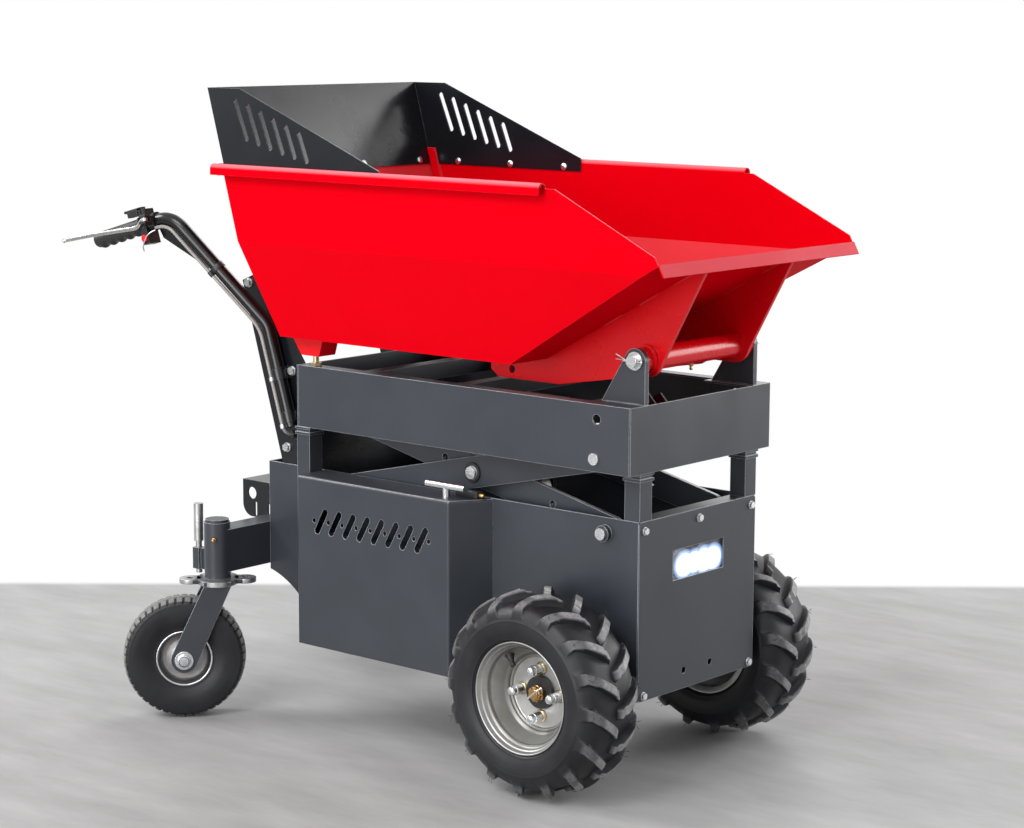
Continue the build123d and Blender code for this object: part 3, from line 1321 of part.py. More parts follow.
def drive_hub():
    """Right hub: half shaft, flange, nose, studs and threaded end."""
    back = -RIM_DISC - HUB_FLANGE
    hub = rod((back, 0, 0), (-RIM_DISC, 0, 0), HUB_R)
    hub += rod((-RIM_DISC, 0, 0), (HUB_NOSE, 0, 0), RIM_BORE_R)
    hub += rod((SHAFT_IN_Y - WHEEL_Y, 0, 0), (back, 0, 0), SHAFT_R)
    hub += rod((HUB_NOSE, 0, 0), (HUB_NOSE + CASTLE_LEN + COTTER_R, 0, 0), AXLE_THREAD_R)
    for at in stud_places():
        hub += rod((-RIM_DISC, *at), (LUG_NUT_LEN / 2, *at), STUD_R)
    return as_wheel(hub)


def wheel_nuts():
    """Right wheel's long lug nuts, the castle nut and its cotter pin."""
    parts = []
    for at in stud_places():
        nut = rod((0, *at), (LUG_NUT_LEN, *at), LUG_NUT_R)
        nut = chamfer(nut.edges().sort_by(Axis.X)[-1], LUG_NUT_R / 2)
        parts.append(nut - rod((0, *at), (LUG_NUT_LEN / 2, *at), STUD_R))
    hexagon = RegularPolygon(CASTLE_ACROSS / 2, 6, major_radius=False) - Circle(AXLE_THREAD_R)
    castle = Plane.YZ.offset(HUB_NOSE) * extrude(hexagon, amount=CASTLE_LEN)
    cross = HUB_NOSE + CASTLE_LEN - 2 * COTTER_R
    cotter = rod((cross, 0, -COTTER_LEN / 2), (cross, 0, COTTER_LEN / 2), COTTER_R)
    cotter -= rod((HUB_NOSE, 0, 0), (HUB_NOSE + CASTLE_LEN + COTTER_R, 0, 0), AXLE_THREAD_R)
    parts.append(castle - cotter)
    parts.append(cotter)
    return [as_wheel(part) for part in parts]


def as_caster(part):
    """Caster piece drawn about its swivel axis, put under the right sleeve in its rest turn."""
    return Pos(CASTER_X, -CASTER_Y, 0) * (Rot(0, 0, CASTER_REST) * part)


def caster_fork():
    """Right fork: crown with lock ears, kingpin with cap, legs and the wheel axle."""
    crown = Rectangle(2 * CROWN_HALF_X, 2 * LEG_OUT)
    crown += slot((-LOCK_R, 0), (LOCK_R, 0), CROWN_EAR_R)
    for x in (-LOCK_R, LOCK_R):
        crown -= disc((x, 0), LOCK_PIN_R + PLAY)
    king = post(0, 0, CROWN_TOP, SLEEVE_TOP + PLAY, KING_R)
    king += post(0, 0, SLEEVE_TOP + PLAY, SLEEVE_TOP + PLAY + KING_CAP, KING_CAP_R)
    axle = (-TRAIL, CASTER_R)
    top = Line((-CROWN_HALF_X, CROWN_LOW), (CROWN_HALF_X, CROWN_LOW))
    leg = make_hull([*disc(axle, LEG_END_R).edges(), *top.edges()]) - disc(axle, CASTER_PIN_R)
    leg = plate_xz(leg, -LEG_OUT, -LEG_IN)
    bolt = rod_y(axle, -LEG_OUT, LEG_OUT, CASTER_PIN_R)
    washer_out = LEG_OUT + CASTER_WASHER
    head = plate_xz(Pos(*axle) * RegularPolygon(CASTER_ACROSS / 2, 6, major_radius=False), 0, CASTER_HEAD)
    for y in (-washer_out, LEG_OUT):
        bolt += rod_y(axle, y, y + CASTER_WASHER, CASTER_WASHER_R)
    bolt += Pos(0, washer_out, 0) * head
    bolt += Pos(0, -washer_out - CASTER_HEAD, 0) * head
    parts = [plate_xy(crown, CROWN_LOW, CROWN_TOP), king, bolt] + both(leg)
    return [as_caster(part) for part in parts]


def on_caster_axle(part):
    """Caster wheel piece drawn about X, put on the right caster's axle."""
    return as_caster(Pos(-TRAIL, 0, CASTER_R) * (Rot(0, 0, 90) * part))


def caster_tyre():
    """Right caster's solid rubber tyre."""
    half = CASTER_W / 2
    flange = CASTER_BEAD_R + CASTER_FLANGE
    section = tyre_face(half, CASTER_R, CASTER_R - half / 6, CASTER_RIM_W / 2, CASTER_BEAD_R, flange)
    return on_caster_axle(revolve(section, axis=Axis.X))


def caster_rim():
    """Right caster's rim with hub."""
    half = CASTER_RIM_W / 2
    inner = CASTER_BEAD_R - RIM_SHEET
    hub_half = LEG_IN - PLAY
    bore = CASTER_PIN_R + RUN
    edge = half + RIM_SHEET
    flange = CASTER_BEAD_R + CASTER_FLANGE
    barrel = face_of(
        (half, CASTER_BEAD_R),
        (half, flange),
        (edge, flange),
        (edge, inner),
        (-edge, inner),
        (-edge, flange),
        (-half, flange),
        (-half, CASTER_BEAD_R),
    )
    web = face_of((CASTER_DISC, bore), (CASTER_DISC, inner), (-CASTER_DISC, inner), (-CASTER_DISC, bore))
    hub = face_of((hub_half, bore), (hub_half, CASTER_HUB_R), (-hub_half, CASTER_HUB_R), (-hub_half, bore))
    return on_caster_axle(
        revolve(barrel, axis=Axis.X) + revolve(web, axis=Axis.X) + revolve(hub, axis=Axis.X)
    )


def lock_pin():
    """Right swivel lock pin with its long knob, drawn up."""
    pin = post(LOCK_X, -CASTER_Y, LOCK_PIN_LOW, LOCK_PIN_TOP, LOCK_PIN_R)
    return pin + post(LOCK_X, -CASTER_Y, LOCK_KNOB_LOW, LOCK_PIN_TOP, LOCK_KNOB_R)


def arm_plate(start, end, y_out, y_in, bores):
    """Scissor arm: a lozenge plate between two pivots, with a bore list of (point, radius)."""
    face = hull((*start, ARM_END_R), (*end, ARM_END_R), (*ARM_CENTRE, ARM_MID_R))
    for point, radius in bores:
        face -= disc(point, radius)
    return plate_xz(face, -y_out, -y_in)


def base_arms():
    """Inner arms, pinned to the chassis in front, with the lift actuator's tie tube and lugs."""
    slope = ARM_RISE / ARM_RUN
    bores = [(BASE_PIVOT, PIN_R + RUN), (UPPER_ROLLER, PIN_R + RUN), (ARM_CENTRE, CENTRE_PIN_R + RUN)]
    bores += [((x, BASE_PIVOT_Z + (PIVOT_X - x) * slope), ARM_HOLE_R) for x in ARM_HOLE_X]
    arm = arm_plate(BASE_PIVOT, UPPER_ROLLER, BASE_ARM_OUT, BASE_ARM_IN, bores)
    tie_at = (LIFT_B[0], BASE_PIVOT_Z + (PIVOT_X - LIFT_B[0]) * slope)
    tie = rod_y(tie_at, -BASE_ARM_IN, BASE_ARM_IN, TIE_R)
    lug = hull((*tie_at, TIE_R + PLATE), (*LIFT_B, ACT_EYE_R)) - disc(LIFT_B, ACT_PIN_R)
    lug = plate_xz(lug, -CHEEK_OUT, -CHEEK_IN) - tie
    pin = rod_y(LIFT_B, -CHEEK_OUT, CHEEK_OUT, ACT_PIN_R)
    return both(arm) + both(lug) + [tie, pin]


def tray_arms():
    """Outer arms, pinned to the tray in front, with a tie tube."""
    bores = [(TRAY_PIVOT, PIN_R + RUN), (LOWER_ROLLER, PIN_R + RUN), (ARM_CENTRE, CENTRE_PIN_R)]
    arm = arm_plate(TRAY_PIVOT, LOWER_ROLLER, TRAY_ARM_OUT, TRAY_ARM_IN, bores)
    slope = ARM_RISE / ARM_RUN
    tie = rod_y((PIVOT_X - TIE_RUN, TRAY_PIVOT_Z - TIE_RUN * slope), -TRAY_ARM_IN, TRAY_ARM_IN, TIE_R)
    return both(arm) + [tie]


def centre_bolts():
    """Round-headed bolts with washers through both arms at the scissor's crossing."""
    washer_out = -TRAY_ARM_OUT - CENTRE_WASHER
    pin = rod_y(ARM_CENTRE, washer_out - CENTRE_HEAD, -BASE_ARM_IN + PLAY, CENTRE_PIN_R)
    pin += rod_y(ARM_CENTRE, washer_out, -TRAY_ARM_OUT, CENTRE_WASHER_R)
    pin += rod_y(ARM_CENTRE, washer_out - CENTRE_HEAD, washer_out, CENTRE_HEAD_R)
    inner = -BASE_ARM_IN + PLAY
    pin += rod_y(ARM_CENTRE, inner, inner + PIN_COLLAR, CENTRE_PIN_R + PLATE)
    return both(pin)


def lower_rollers():
    """Shaft in the tray arms' rear ends with rollers on the chassis rails."""
    reach = TRAY_ARM_OUT + ARM_GAP / 2
    shaft = rod_y(LOWER_ROLLER, -reach, reach, PIN_R)
    for y in (-RAIL_IN - RAIL_W, RAIL_IN):
        shaft += rod_y(LOWER_ROLLER, y, y + RAIL_W, ROLLER_R)
    return [shaft]


def upper_rollers():
    """Shaft in the base arms' rear ends with rollers under the tray's tracks."""
    reach = UPPER_ROLLER_IN + UPPER_ROLLER_W
    shaft = rod_y(UPPER_ROLLER, -reach, reach, PIN_R)
    for y in (-reach, UPPER_ROLLER_IN):
        shaft += rod_y(UPPER_ROLLER, y, y + UPPER_ROLLER_W, ROLLER_R)
    return [shaft]


def actuator(anchor, pin, slot_len):
    """Electric linear actuator drawn along X from the anchor and laid between two points: barrel, rod."""
    length = hypot(pin[0] - anchor[0], pin[1] - anchor[1])
    base = ACT_EYE_R
    gland = length - ACT_EYE_R - ACT_NECK
    inside = base + ACT_BASE
    bore = ACT_BARREL_R - ACT_WALL
    barrel = rod((base, 0, 0), (gland, 0, 0), ACT_BARREL_R)
    root = hull((0, 0, ACT_EYE_R), (base + ACT_BASE / 2, 0, ACT_EYE_R))
    barrel += plate_xz(root, -ACT_EYE_HALF, ACT_EYE_HALF)
    motor_back = base + ACT_MOTOR_BACK
    barrel += block(motor_back, motor_back + ACT_GEAR, 0, ACT_MOTOR_Y, -ACT_MOTOR_R, ACT_MOTOR_R)
    barrel += rod((motor_back, ACT_MOTOR_Y, 0), (motor_back + ACT_MOTOR_LEN, ACT_MOTOR_Y, 0), ACT_MOTOR_R)
    barrel -= rod((inside, 0, 0), (gland - ACT_GLAND, 0, 0), bore)
    barrel -= rod((inside, 0, 0), (gland, 0, 0), ACT_ROD_R + RUN)
    barrel -= rod_y((0, 0), -ACT_EYE_HALF, ACT_EYE_HALF, ACT_PIN_R + RUN)
    start = inside + PLAY
    piston = rod((start, 0, 0), (start + ACT_PISTON, 0, 0), bore - RUN)
    piston += rod((start, 0, 0), (length - ACT_EYE_R + PLATE, 0, 0), ACT_ROD_R)
    eye = hull((length, 0, ACT_EYE_R), (length + slot_len, 0, ACT_EYE_R))
    piston += plate_xz(eye, -ACT_EYE_HALF, ACT_EYE_HALF)
    opening = slot((length, 0), (length + slot_len, 0), ACT_PIN_R + RUN)
    piston -= plate_xz(opening, -ACT_EYE_HALF, ACT_EYE_HALF)
    turn = degrees(atan2(pin[1] - anchor[1], pin[0] - anchor[0]))
    place = Pos(anchor[0], 0, anchor[1]) * Rot(0, -turn, 0)
    return place * barrel, place * piston


def tray_frame():
    """Tray of folded plates with pivot bosses, ears, roller tracks, rest stubs and tilt bracket."""
    rear, front = TRAY_REAR + PLATE, TRAY_FRONT - PLATE
    top = TRAY_TOP - PLATE
    side = face_of((rear, TRAY_BOTTOM), (front, TRAY_BOTTOM), (front, TRAY_TOP), (rear, TRAY_TOP))
    side -= disc(TRAY_PIVOT, PIN_R)
    side -= disc((TRAY_HOLE_X, TRAY_HOLE_Z), TRAY_HOLE_R)
    parts = both(plate_xz(side, -TRAY_HALF, -TRAY_IN))
    parts.append(block(front, TRAY_FRONT, -TRAY_HALF, TRAY_HALF, TRAY_BOTTOM, TRAY_TOP))
    parts.append(block(TRAY_REAR, rear, -TRAY_HALF, TRAY_HALF, TRAY_BOTTOM, TRAY_TOP))
    parts += both(block(rear, TRAY_CAP_X, -TRAY_IN, -TRAY_IN + TRAY_FLANGE, top, TRAY_TOP))
    parts += both(block(TRAY_CAP_X, front, -TRAY_IN, -TRAY_CAP_IN, top, TRAY_TOP))
    for x in CROSS_BAR_X:
        parts.append(block(x, x + CROSS_BAR, -TRAY_IN, TRAY_IN, top - CROSS_BAR_DEPTH, top))
    track_z = TRAY_PIVOT_Z + ROLLER_R + PLAY
    parts += both(block(RAIL_REAR, RAIL_FRONT, -TRAY_IN, -TRACK_IN, track_z, track_z + TRACK_T))
    boss_in = TRAY_ARM_OUT + ARM_GAP / 2
    parts += both(ring_y(TRAY_PIVOT, -TRAY_IN, -boss_in, TRAY_BOSS_R, PIN_R))
    front_post, rear_post = post_places()
    half = TRAY_FOOT / 2
    shoulder = POST_TOP + PLAY
    for x, y in (front_post, rear_post):
        foot_front = front if x > 0 else x + half
        foot_rear = x - half if x > 0 else rear
        foot_in = max(y + half, -TRAY_IN)
        parts += both(block(foot_rear, foot_front, -TRAY_IN, foot_in, TRAY_BOTTOM, TRAY_BOTTOM + PLATE))
        stub = plate_xy(Pos(x, y) * Rectangle(STUB, STUB), shoulder - STUB_LEN, TRAY_BOTTOM)
        stub += plate_xy(Pos(x, y) * Rectangle(TRAY_FOOT, TRAY_FOOT), shoulder, TRAY_BOTTOM)
        parts += both(stub)
    ear_front = HINGE[0] + EAR_R
    base = Line((ear_front - EAR_FOOT, TRAY_TOP), (ear_front, TRAY_TOP))
    ear = make_hull([*disc(HINGE, EAR_R).edges(), *base.edges()]) - disc(HINGE, HINGE_PIN_R)
    parts += both(plate_xz(ear, -EAR_IN - EAR_T, -EAR_IN))
    root = Line((front, TRAY_BOTTOM + PLATE), (front, TRAY_BOTTOM + TILT_ROOT))
    cheek = make_hull([*disc(TILT_A, ACT_EYE_R).edges(), *root.edges()]) - disc(TILT_A, ACT_PIN_R)
    parts += both(plate_xz(cheek, -CHEEK_OUT, -CHEEK_IN))
    parts.append(rod_y(TILT_A, -CHEEK_OUT, CHEEK_OUT, ACT_PIN_R))
    clip_rear, clip_top = front - CLIP_PLATE_DEPTH, CLIP_PLATE_Z + PLATE
    parts.append(block(clip_rear, front, -CLIP_PLATE_HALF, CLIP_PLATE_HALF, CLIP_PLATE_Z, clip_top))
    return parts


def tray_fasteners():
    """Pivot pins of the tray arms and the bolts the lowered bucket rests on."""
    inner = -TRAY_ARM_IN + PLAY
    pin = rod_y(TRAY_PIVOT, -TRAY_HALF, inner + PIN_COLLAR, PIN_R)
    pin += rod_y(TRAY_PIVOT, -TRAY_HALF - PIN_HEAD / 2, -TRAY_HALF, PIN_HEAD_R)
    pin += rod_y(TRAY_PIVOT, inner, inner + PIN_COLLAR, PIN_COLLAR_R)
    head_top = FOOT_Z - PLAY
    rest = post(REST_BOLT_X, -REST_BOLT_Y, TRAY_TOP, head_top, REST_BOLT_R)
    nut = RegularPolygon(REST_BOLT_R * HEX_PART, 6, major_radius=False)
    rest += Pos(REST_BOLT_X, -REST_BOLT_Y, TRAY_TOP) * extrude(nut, amount=REST_BOLT_R)
    return both(pin) + both(rest)


def bucket_pivot_pin():
    """Long pin through the ears with washers and split pins."""
    outer = EAR_IN + EAR_T
    reach = outer + HINGE_PIN_OVER
    pin = rod_y(HINGE, -reach, reach, HINGE_PIN_R)
    washer = ring_y(HINGE, -outer - HINGE_WASHER, -outer, HINGE_WASHER_R, HINGE_PIN_R)
    hole_y = -(outer + HINGE_WASHER + reach) / 2
    half = SPLIT_PIN_LEN / 2
    split_pin = rod((HINGE[0] - half, hole_y, HINGE[1]), (HINGE[0] + half, hole_y, HINGE[1]), SPLIT_PIN_R)
    pins = both(split_pin)
    return [pin - pins] + both(washer) + pins


def bucket_lines():
    """The tub's outer rear and slope lines, as (x, z) point pairs."""
    rear = ((RIM_REAR, RIM_TOP), (FLOOR_REAR, FLOOR_Z))
    slope = ((FLOOR_FRONT, FLOOR_Z), LIP)
    return rear, slope


def leaning_tab(low, top):
    """Face of a corner tab between two heights, leaning with the rear wall just ahead of the guard."""
    rear, _ = bucket_lines()
    ahead = moved_line(*rear, 2 * TUB_SHEET)
    low_x = meet(ahead, level(low))[0] + TAB_GAP
    top_x = meet(ahead, level(top))[0] + TAB_GAP
    return face_of((low_x, low), (low_x + TAB_W, low), (top_x + TAB_W, top), (top_x, top))


def bucket_tub():
    """Tub of folded sheet: where a side view and a rear view both allow it, less its inside."""
    rear, slope = bucket_lines()
    wall_top = RIM_TOP - ROLL_R
    lip_top = moved_line(*slope, TUB_SHEET)[1]
    side_view = face_of(
        (FLOOR_REAR, FLOOR_Z),
        (FLOOR_FRONT, FLOOR_Z),
        LIP,
        lip_top,
        CHEEK_CORNER,
        meet((CHEEK_CORNER, (RIM_FRONT, RIM_TOP)), level(wall_top)),
        meet(rear, level(wall_top)),
    )
    rear_view = face_of(
        (-FLOOR_HALF, FLOOR_Z),
        (FLOOR_HALF, FLOOR_Z),
        (BUCKET_HALF, FOLD_Z),
        (BUCKET_HALF, wall_top),
        (-BUCKET_HALF, wall_top),
        (-BUCKET_HALF, FOLD_Z),
    )
    tub = plate_xz(side_view, -BUCKET_HALF, BUCKET_HALF) & plate_yz(rear_view, RIM_REAR, LIP[0])
    floor_in = level(FLOOR_Z + TUB_SHEET)
    rear_in = moved_line(*rear, TUB_SHEET)
    slope_in = moved_line(*slope, TUB_SHEET)
    beyond = ((2 * LIP[0], 0.0), (2 * LIP[0], 1.0))
    inner_side = face_of(
        meet(rear_in, floor_in),
        meet(slope_in, floor_in),
        meet(slope_in, beyond),
        (2 * LIP[0], RIM_TOP),
        meet(rear_in, level(RIM_TOP)),
    )
    panel_in = moved_line((FLOOR_HALF, FLOOR_Z), (BUCKET_HALF, FOLD_Z), TUB_SHEET)
    wall_in = ((BUCKET_HALF - TUB_SHEET, 0.0), (BUCKET_HALF - TUB_SHEET, 1.0))
    low = meet(panel_in, floor_in)
    fold = meet(panel_in, wall_in)
    inner_rear = face_of(
        (-low[0], low[1]),
        low,
        fold,
        (fold[0], RIM_TOP),
        (-fold[0], RIM_TOP),
        (-fold[0], fold[1]),
    )
    tub -= plate_xz(inner_side, -BUCKET_HALF, BUCKET_HALF) & plate_yz(inner_rear, RIM_REAR, 2 * LIP[0])
    roll = Circle(ROLL_R) - Circle(ROLL_R - TUB_SHEET)
    roll -= Pos(0, -ROLL_R / 2) * Rectangle(2 * ROLL_R, ROLL_R)
    skirt = Pos(ROLL_R - TUB_SHEET / 2, -ROLL_SKIRT / 2) * Rectangle(TUB_SHEET, ROLL_SKIRT)
    roll += skirt
    side_roll = Pos(BUCKET_HALF - TUB_SHEET + ROLL_R, wall_top) * roll
    rear_x = meet(rear, level(wall_top))[0]
    side_roll = plate_yz(side_roll, rear_x - 2 * ROLL_R + TUB_SHEET, RIM_FRONT)
    lean = degrees(atan2(FLOOR_REAR - RIM_REAR, RIM_TOP - FLOOR_Z))
    roll_at = meet(moved_line(*rear, TUB_SHEET - ROLL_R), level(wall_top))
    rear_roll = Pos(*roll_at) * Rot(0, 0, lean) * mirror(roll, about=Plane.YZ)
    rear_roll = plate_xz(rear_roll, -BUCKET_HALF, BUCKET_HALF)
    flange_end = moved_line(*slope, -LIP_FLANGE)[1]
    run = hypot(LIP[0] - FLOOR_FRONT, LIP[1] - FLOOR_Z)
    ahead = ((LIP[0] - FLOOR_FRONT) / run * TUB_SHEET, (LIP[1] - FLOOR_Z) / run * TUB_SHEET)
    flange = face_of(
        lip_top,
        (lip_top[0] + ahead[0], lip_top[1] + ahead[1]),
        (flange_end[0] + ahead[0], flange_end[1] + ahead[1]),
        flange_end,
    )
    flange = plate_xz(flange, -BUCKET_HALF, BUCKET_HALF)
    tub += both(side_roll) + [rear_roll, flange]
    inside = BUCKET_HALF - TUB_SHEET
    guard_in = inside - TUB_SHEET
    tab_low = RIM_TOP - TAB_DROP
    tab = plate_xz(leaning_tab(tab_low, RIM_TOP + TAB_RISE), -guard_in, -guard_in + TAB_T)
    tab += plate_xz(leaning_tab(tab_low, GUARD_LOW - PLAY), -inside, -guard_in)
    return tub + both(tab)


def bucket_hinge_frame():
    """Ribs under the tub with the pivot tube, the tilt actuator's pin and the rear feet."""
    _, slope = bucket_lines()
    front_line = ((RIB_FRONT, 0.0), (RIB_FRONT, 1.0))
    nose = on_circle(HINGE, RIB_NOSE_R, RIB_NOSE_ANGLE)
    nose_rear = HINGE[0] - RIB_NOSE_RUN
    face = face_of(
        (RIB_REAR, FLOOR_Z),
        (RIB_REAR, FLOOR_Z - RIB_REAR_DROP),
        (RIB_REAR + RIB_HEEL, FLOOR_Z - RIB_DROP),
        (RIB_FLAT_FRONT, FLOOR_Z - RIB_DROP),
        (nose_rear, HINGE[1] - RIB_NOSE_DROP),
        HINGE,
        nose,
        meet(slope, front_line),
        (FLOOR_FRONT, FLOOR_Z),
    )
    low_rim = hull((*HINGE, RIB_NOSE_R), (nose_rear, HINGE[1], RIB_NOSE_R))
    face += low_rim
    face -= disc(HINGE, HINGE_TUBE_R)
    face -= disc(TILT_B, ACT_PIN_R)
    face -= disc((RIB_REAR + RIB_HOLE_FROM_REAR, FLOOR_Z - RIB_HOLE_DROP), RIB_HOLE_R)
    rib = plate_xz(face, -RIB_IN - RIB_T, -RIB_IN)
    end = EAR_IN - PLAY
    tube = ring_y(HINGE, -end, end, HINGE_TUBE_R, HINGE_PIN_R + RUN)
    rib_out = RIB_IN + RIB_T
    collar = ring_y(HINGE, -rib_out - HINGE_COLLAR, -rib_out, HINGE_COLLAR_R, HINGE_TUBE_R)
    pin = rod_y(TILT_B, -rib_out, rib_out, ACT_PIN_R)
    top_rear = FOOT_LOW_REAR - FOOT_REAR_FLARE
    top_front = FOOT_LOW_FRONT + FOOT_FRONT_FLARE
    foot = face_of(
        (top_rear, FLOOR_Z),
        (FOOT_LOW_REAR, FOOT_Z),
        (FOOT_LOW_FRONT, FOOT_Z),
        (top_front, FLOOR_Z),
    )
    hollow = face_of(
        (top_rear + PLATE, FLOOR_Z),
        (FOOT_LOW_REAR + PLATE, FOOT_Z + PLATE),
        (FOOT_LOW_FRONT - PLATE, FOOT_Z + PLATE),
        (top_front - PLATE, FLOOR_Z),
    )
    foot = plate_xz(foot - hollow, -FOOT_OUT, -FOOT_IN) + plate_xz(foot, -FOOT_OUT, PLATE - FOOT_OUT)
    return both(rib) + both(collar) + both(foot) + [tube, pin]


def between(ends, part):
    """Value part of the way from the first of two ends to the last."""
    return ends[0] + (ends[1] - ends[0]) * part


def guard_point(x, part):
    """Point of the guard's side at an x, at a part of the plate's height there."""
    fall = (GUARD_TOP - GUARD_FRONT_Z) / (GUARD_FRONT_X - GUARD_SHOULDER_X)
    edge = GUARD_TOP - fall * max(x - GUARD_SHOULDER_X, 0.0)
    return (x, between((GUARD_LOW, edge), part))


def guard_slots():
    """Slanted slots along the guard's sides, evenly spread between the first and the last."""
    slots = []
    for index in range(GUARD_SLOTS):
        part = index / (GUARD_SLOTS - 1)
        top = guard_point(between(GUARD_SLOT_TOP_X, part), between(GUARD_SLOT_TOP, part))
        low = guard_point(between(GUARD_SLOT_LOW_X, part), between(GUARD_SLOT_LOW, part))
        slots.append(slot(top, low, GUARD_SLOT_R))
    return slots


def spill_guard():
    """Two side plates and a rear plate bolted inside the tub's rim."""
    rear, _ = bucket_lines()
    rear_in = moved_line(*rear, TUB_SHEET)
    plate_in = moved_line(*rear, 2 * TUB_SHEET)
    side = face_of(
        meet(rear_in, level(GUARD_LOW)),
        (GUARD_FRONT_X, GUARD_LOW),
        (GUARD_FRONT_X, GUARD_FRONT_Z),
        (GUARD_SHOULDER_X, GUARD_TOP),
        meet(rear_in, level(GUARD_TOP)),
    )
    for cut in guard_slots():
        side -= cut
    for x in GUARD_BOLT_X:
        side -= disc((x, GUARD_BOLT_Z), GUARD_BOLT_R)
    outer = BUCKET_HALF - TUB_SHEET
    inner = outer - TUB_SHEET
    back = face_of(
        meet(rear_in, level(GUARD_LOW)),
        meet(plate_in, level(GUARD_LOW)),
        meet(plate_in, level(GUARD_TOP)),
        meet(rear_in, level(GUARD_TOP)),
    )
    back = plate_xz(back, -inner, inner)
    for bolt in guard_rear_bolts():
        back -= bolt
    return both(plate_xz(side, -outer, -inner)) + [back]


def guard_bolt():
    """Dome bolt with nut along Z: its seat on the guard's face is the origin, its shank goes down."""
    grip = 2 * TUB_SHEET
    bolt = Pos(0, 0, -grip - GUARD_NUT) * Cylinder(GUARD_BOLT_R, grip + GUARD_NUT, align=FROM_BASE)
    bolt += Cylinder(GUARD_HEAD_R, GUARD_HEAD / 2, align=FROM_BASE)
    bolt += Pos(0, 0, GUARD_HEAD / 2) * Cone(GUARD_HEAD_R, GUARD_HEAD_R / 2, GUARD_HEAD / 2, align=FROM_BASE)
    nut = RegularPolygon(GUARD_BOLT_R * HEX_PART, 6, major_radius=False)
    return bolt + Pos(0, 0, -grip - GUARD_NUT) * extrude(nut, amount=GUARD_NUT)


def guard_rear_bolts():
    """Bolts through the rear plate and the rear wall."""
    rear, _ = bucket_lines()
    plate_in = moved_line(*rear, 2 * TUB_SHEET)
    x, z = meet(plate_in, level(GUARD_BOLT_Z))
    run = Vector(rear[1][0] - rear[0][0], 0, rear[1][1] - rear[0][1])
    out = Vector(-run.Z, 0, run.X).normalized()
    across = [side * y for y in GUARD_BOLT_Y for side in (-1, 1)]
    return [Plane(origin=(x, y, z), z_dir=out) * guard_bolt() for y in across]


def guard_side_bolts():
    """Bolts through the right side plate and wall."""
    seat = -BUCKET_HALF + 2 * TUB_SHEET
    return [Plane(origin=(x, seat, GUARD_BOLT_Z), z_dir=(0, 1, 0)) * guard_bolt() for x in GUARD_BOLT_X]


def guard_bolts():
    """All bolts of the spill guard."""
    parts = guard_rear_bolts()
    for bolt in guard_side_bolts():
        parts += both(bolt)
    return parts


def box_latch():
    """T-handle on the right battery box: bar, stem and a cam under the lid."""
    bar_z = CHASSIS_TOP + LATCH_LIFT + LATCH_BAR_R
    half = LATCH_BAR_LEN / 2
    low = CHASSIS_TOP - BOX_SHEET - LATCH_TAIL
    latch = post(LATCH_X, -LATCH_Y, low, bar_z, LATCH_STEM_R)
    latch += rod((LATCH_X - half, -LATCH_Y, bar_z), (LATCH_X + half, -LATCH_Y, bar_z), LATCH_BAR_R)
    cam = LATCH_CAM / 2
    latch += block(
        LATCH_X - cam,
        LATCH_X + cam,
        -LATCH_Y - LATCH_STEM_R,
        -LATCH_Y + LATCH_STEM_R,
        low,
        low + LATCH_STEM_R,
    )
    return latch


def mirrored(parts):
    """Left-hand copies of right-hand pieces."""
    return [mirror(part, about=Plane.XZ) for part in parts]


LIFT_BARREL, LIFT_ROD = actuator(LIFT_A, LIFT_B, LIFT_SLOT)
TILT_BARREL, TILT_ROD = actuator(TILT_A, TILT_B, TILT_SLOT)
BOX = battery_box()
TUB = bucket_tub()
BOLTS = guard_bolts()

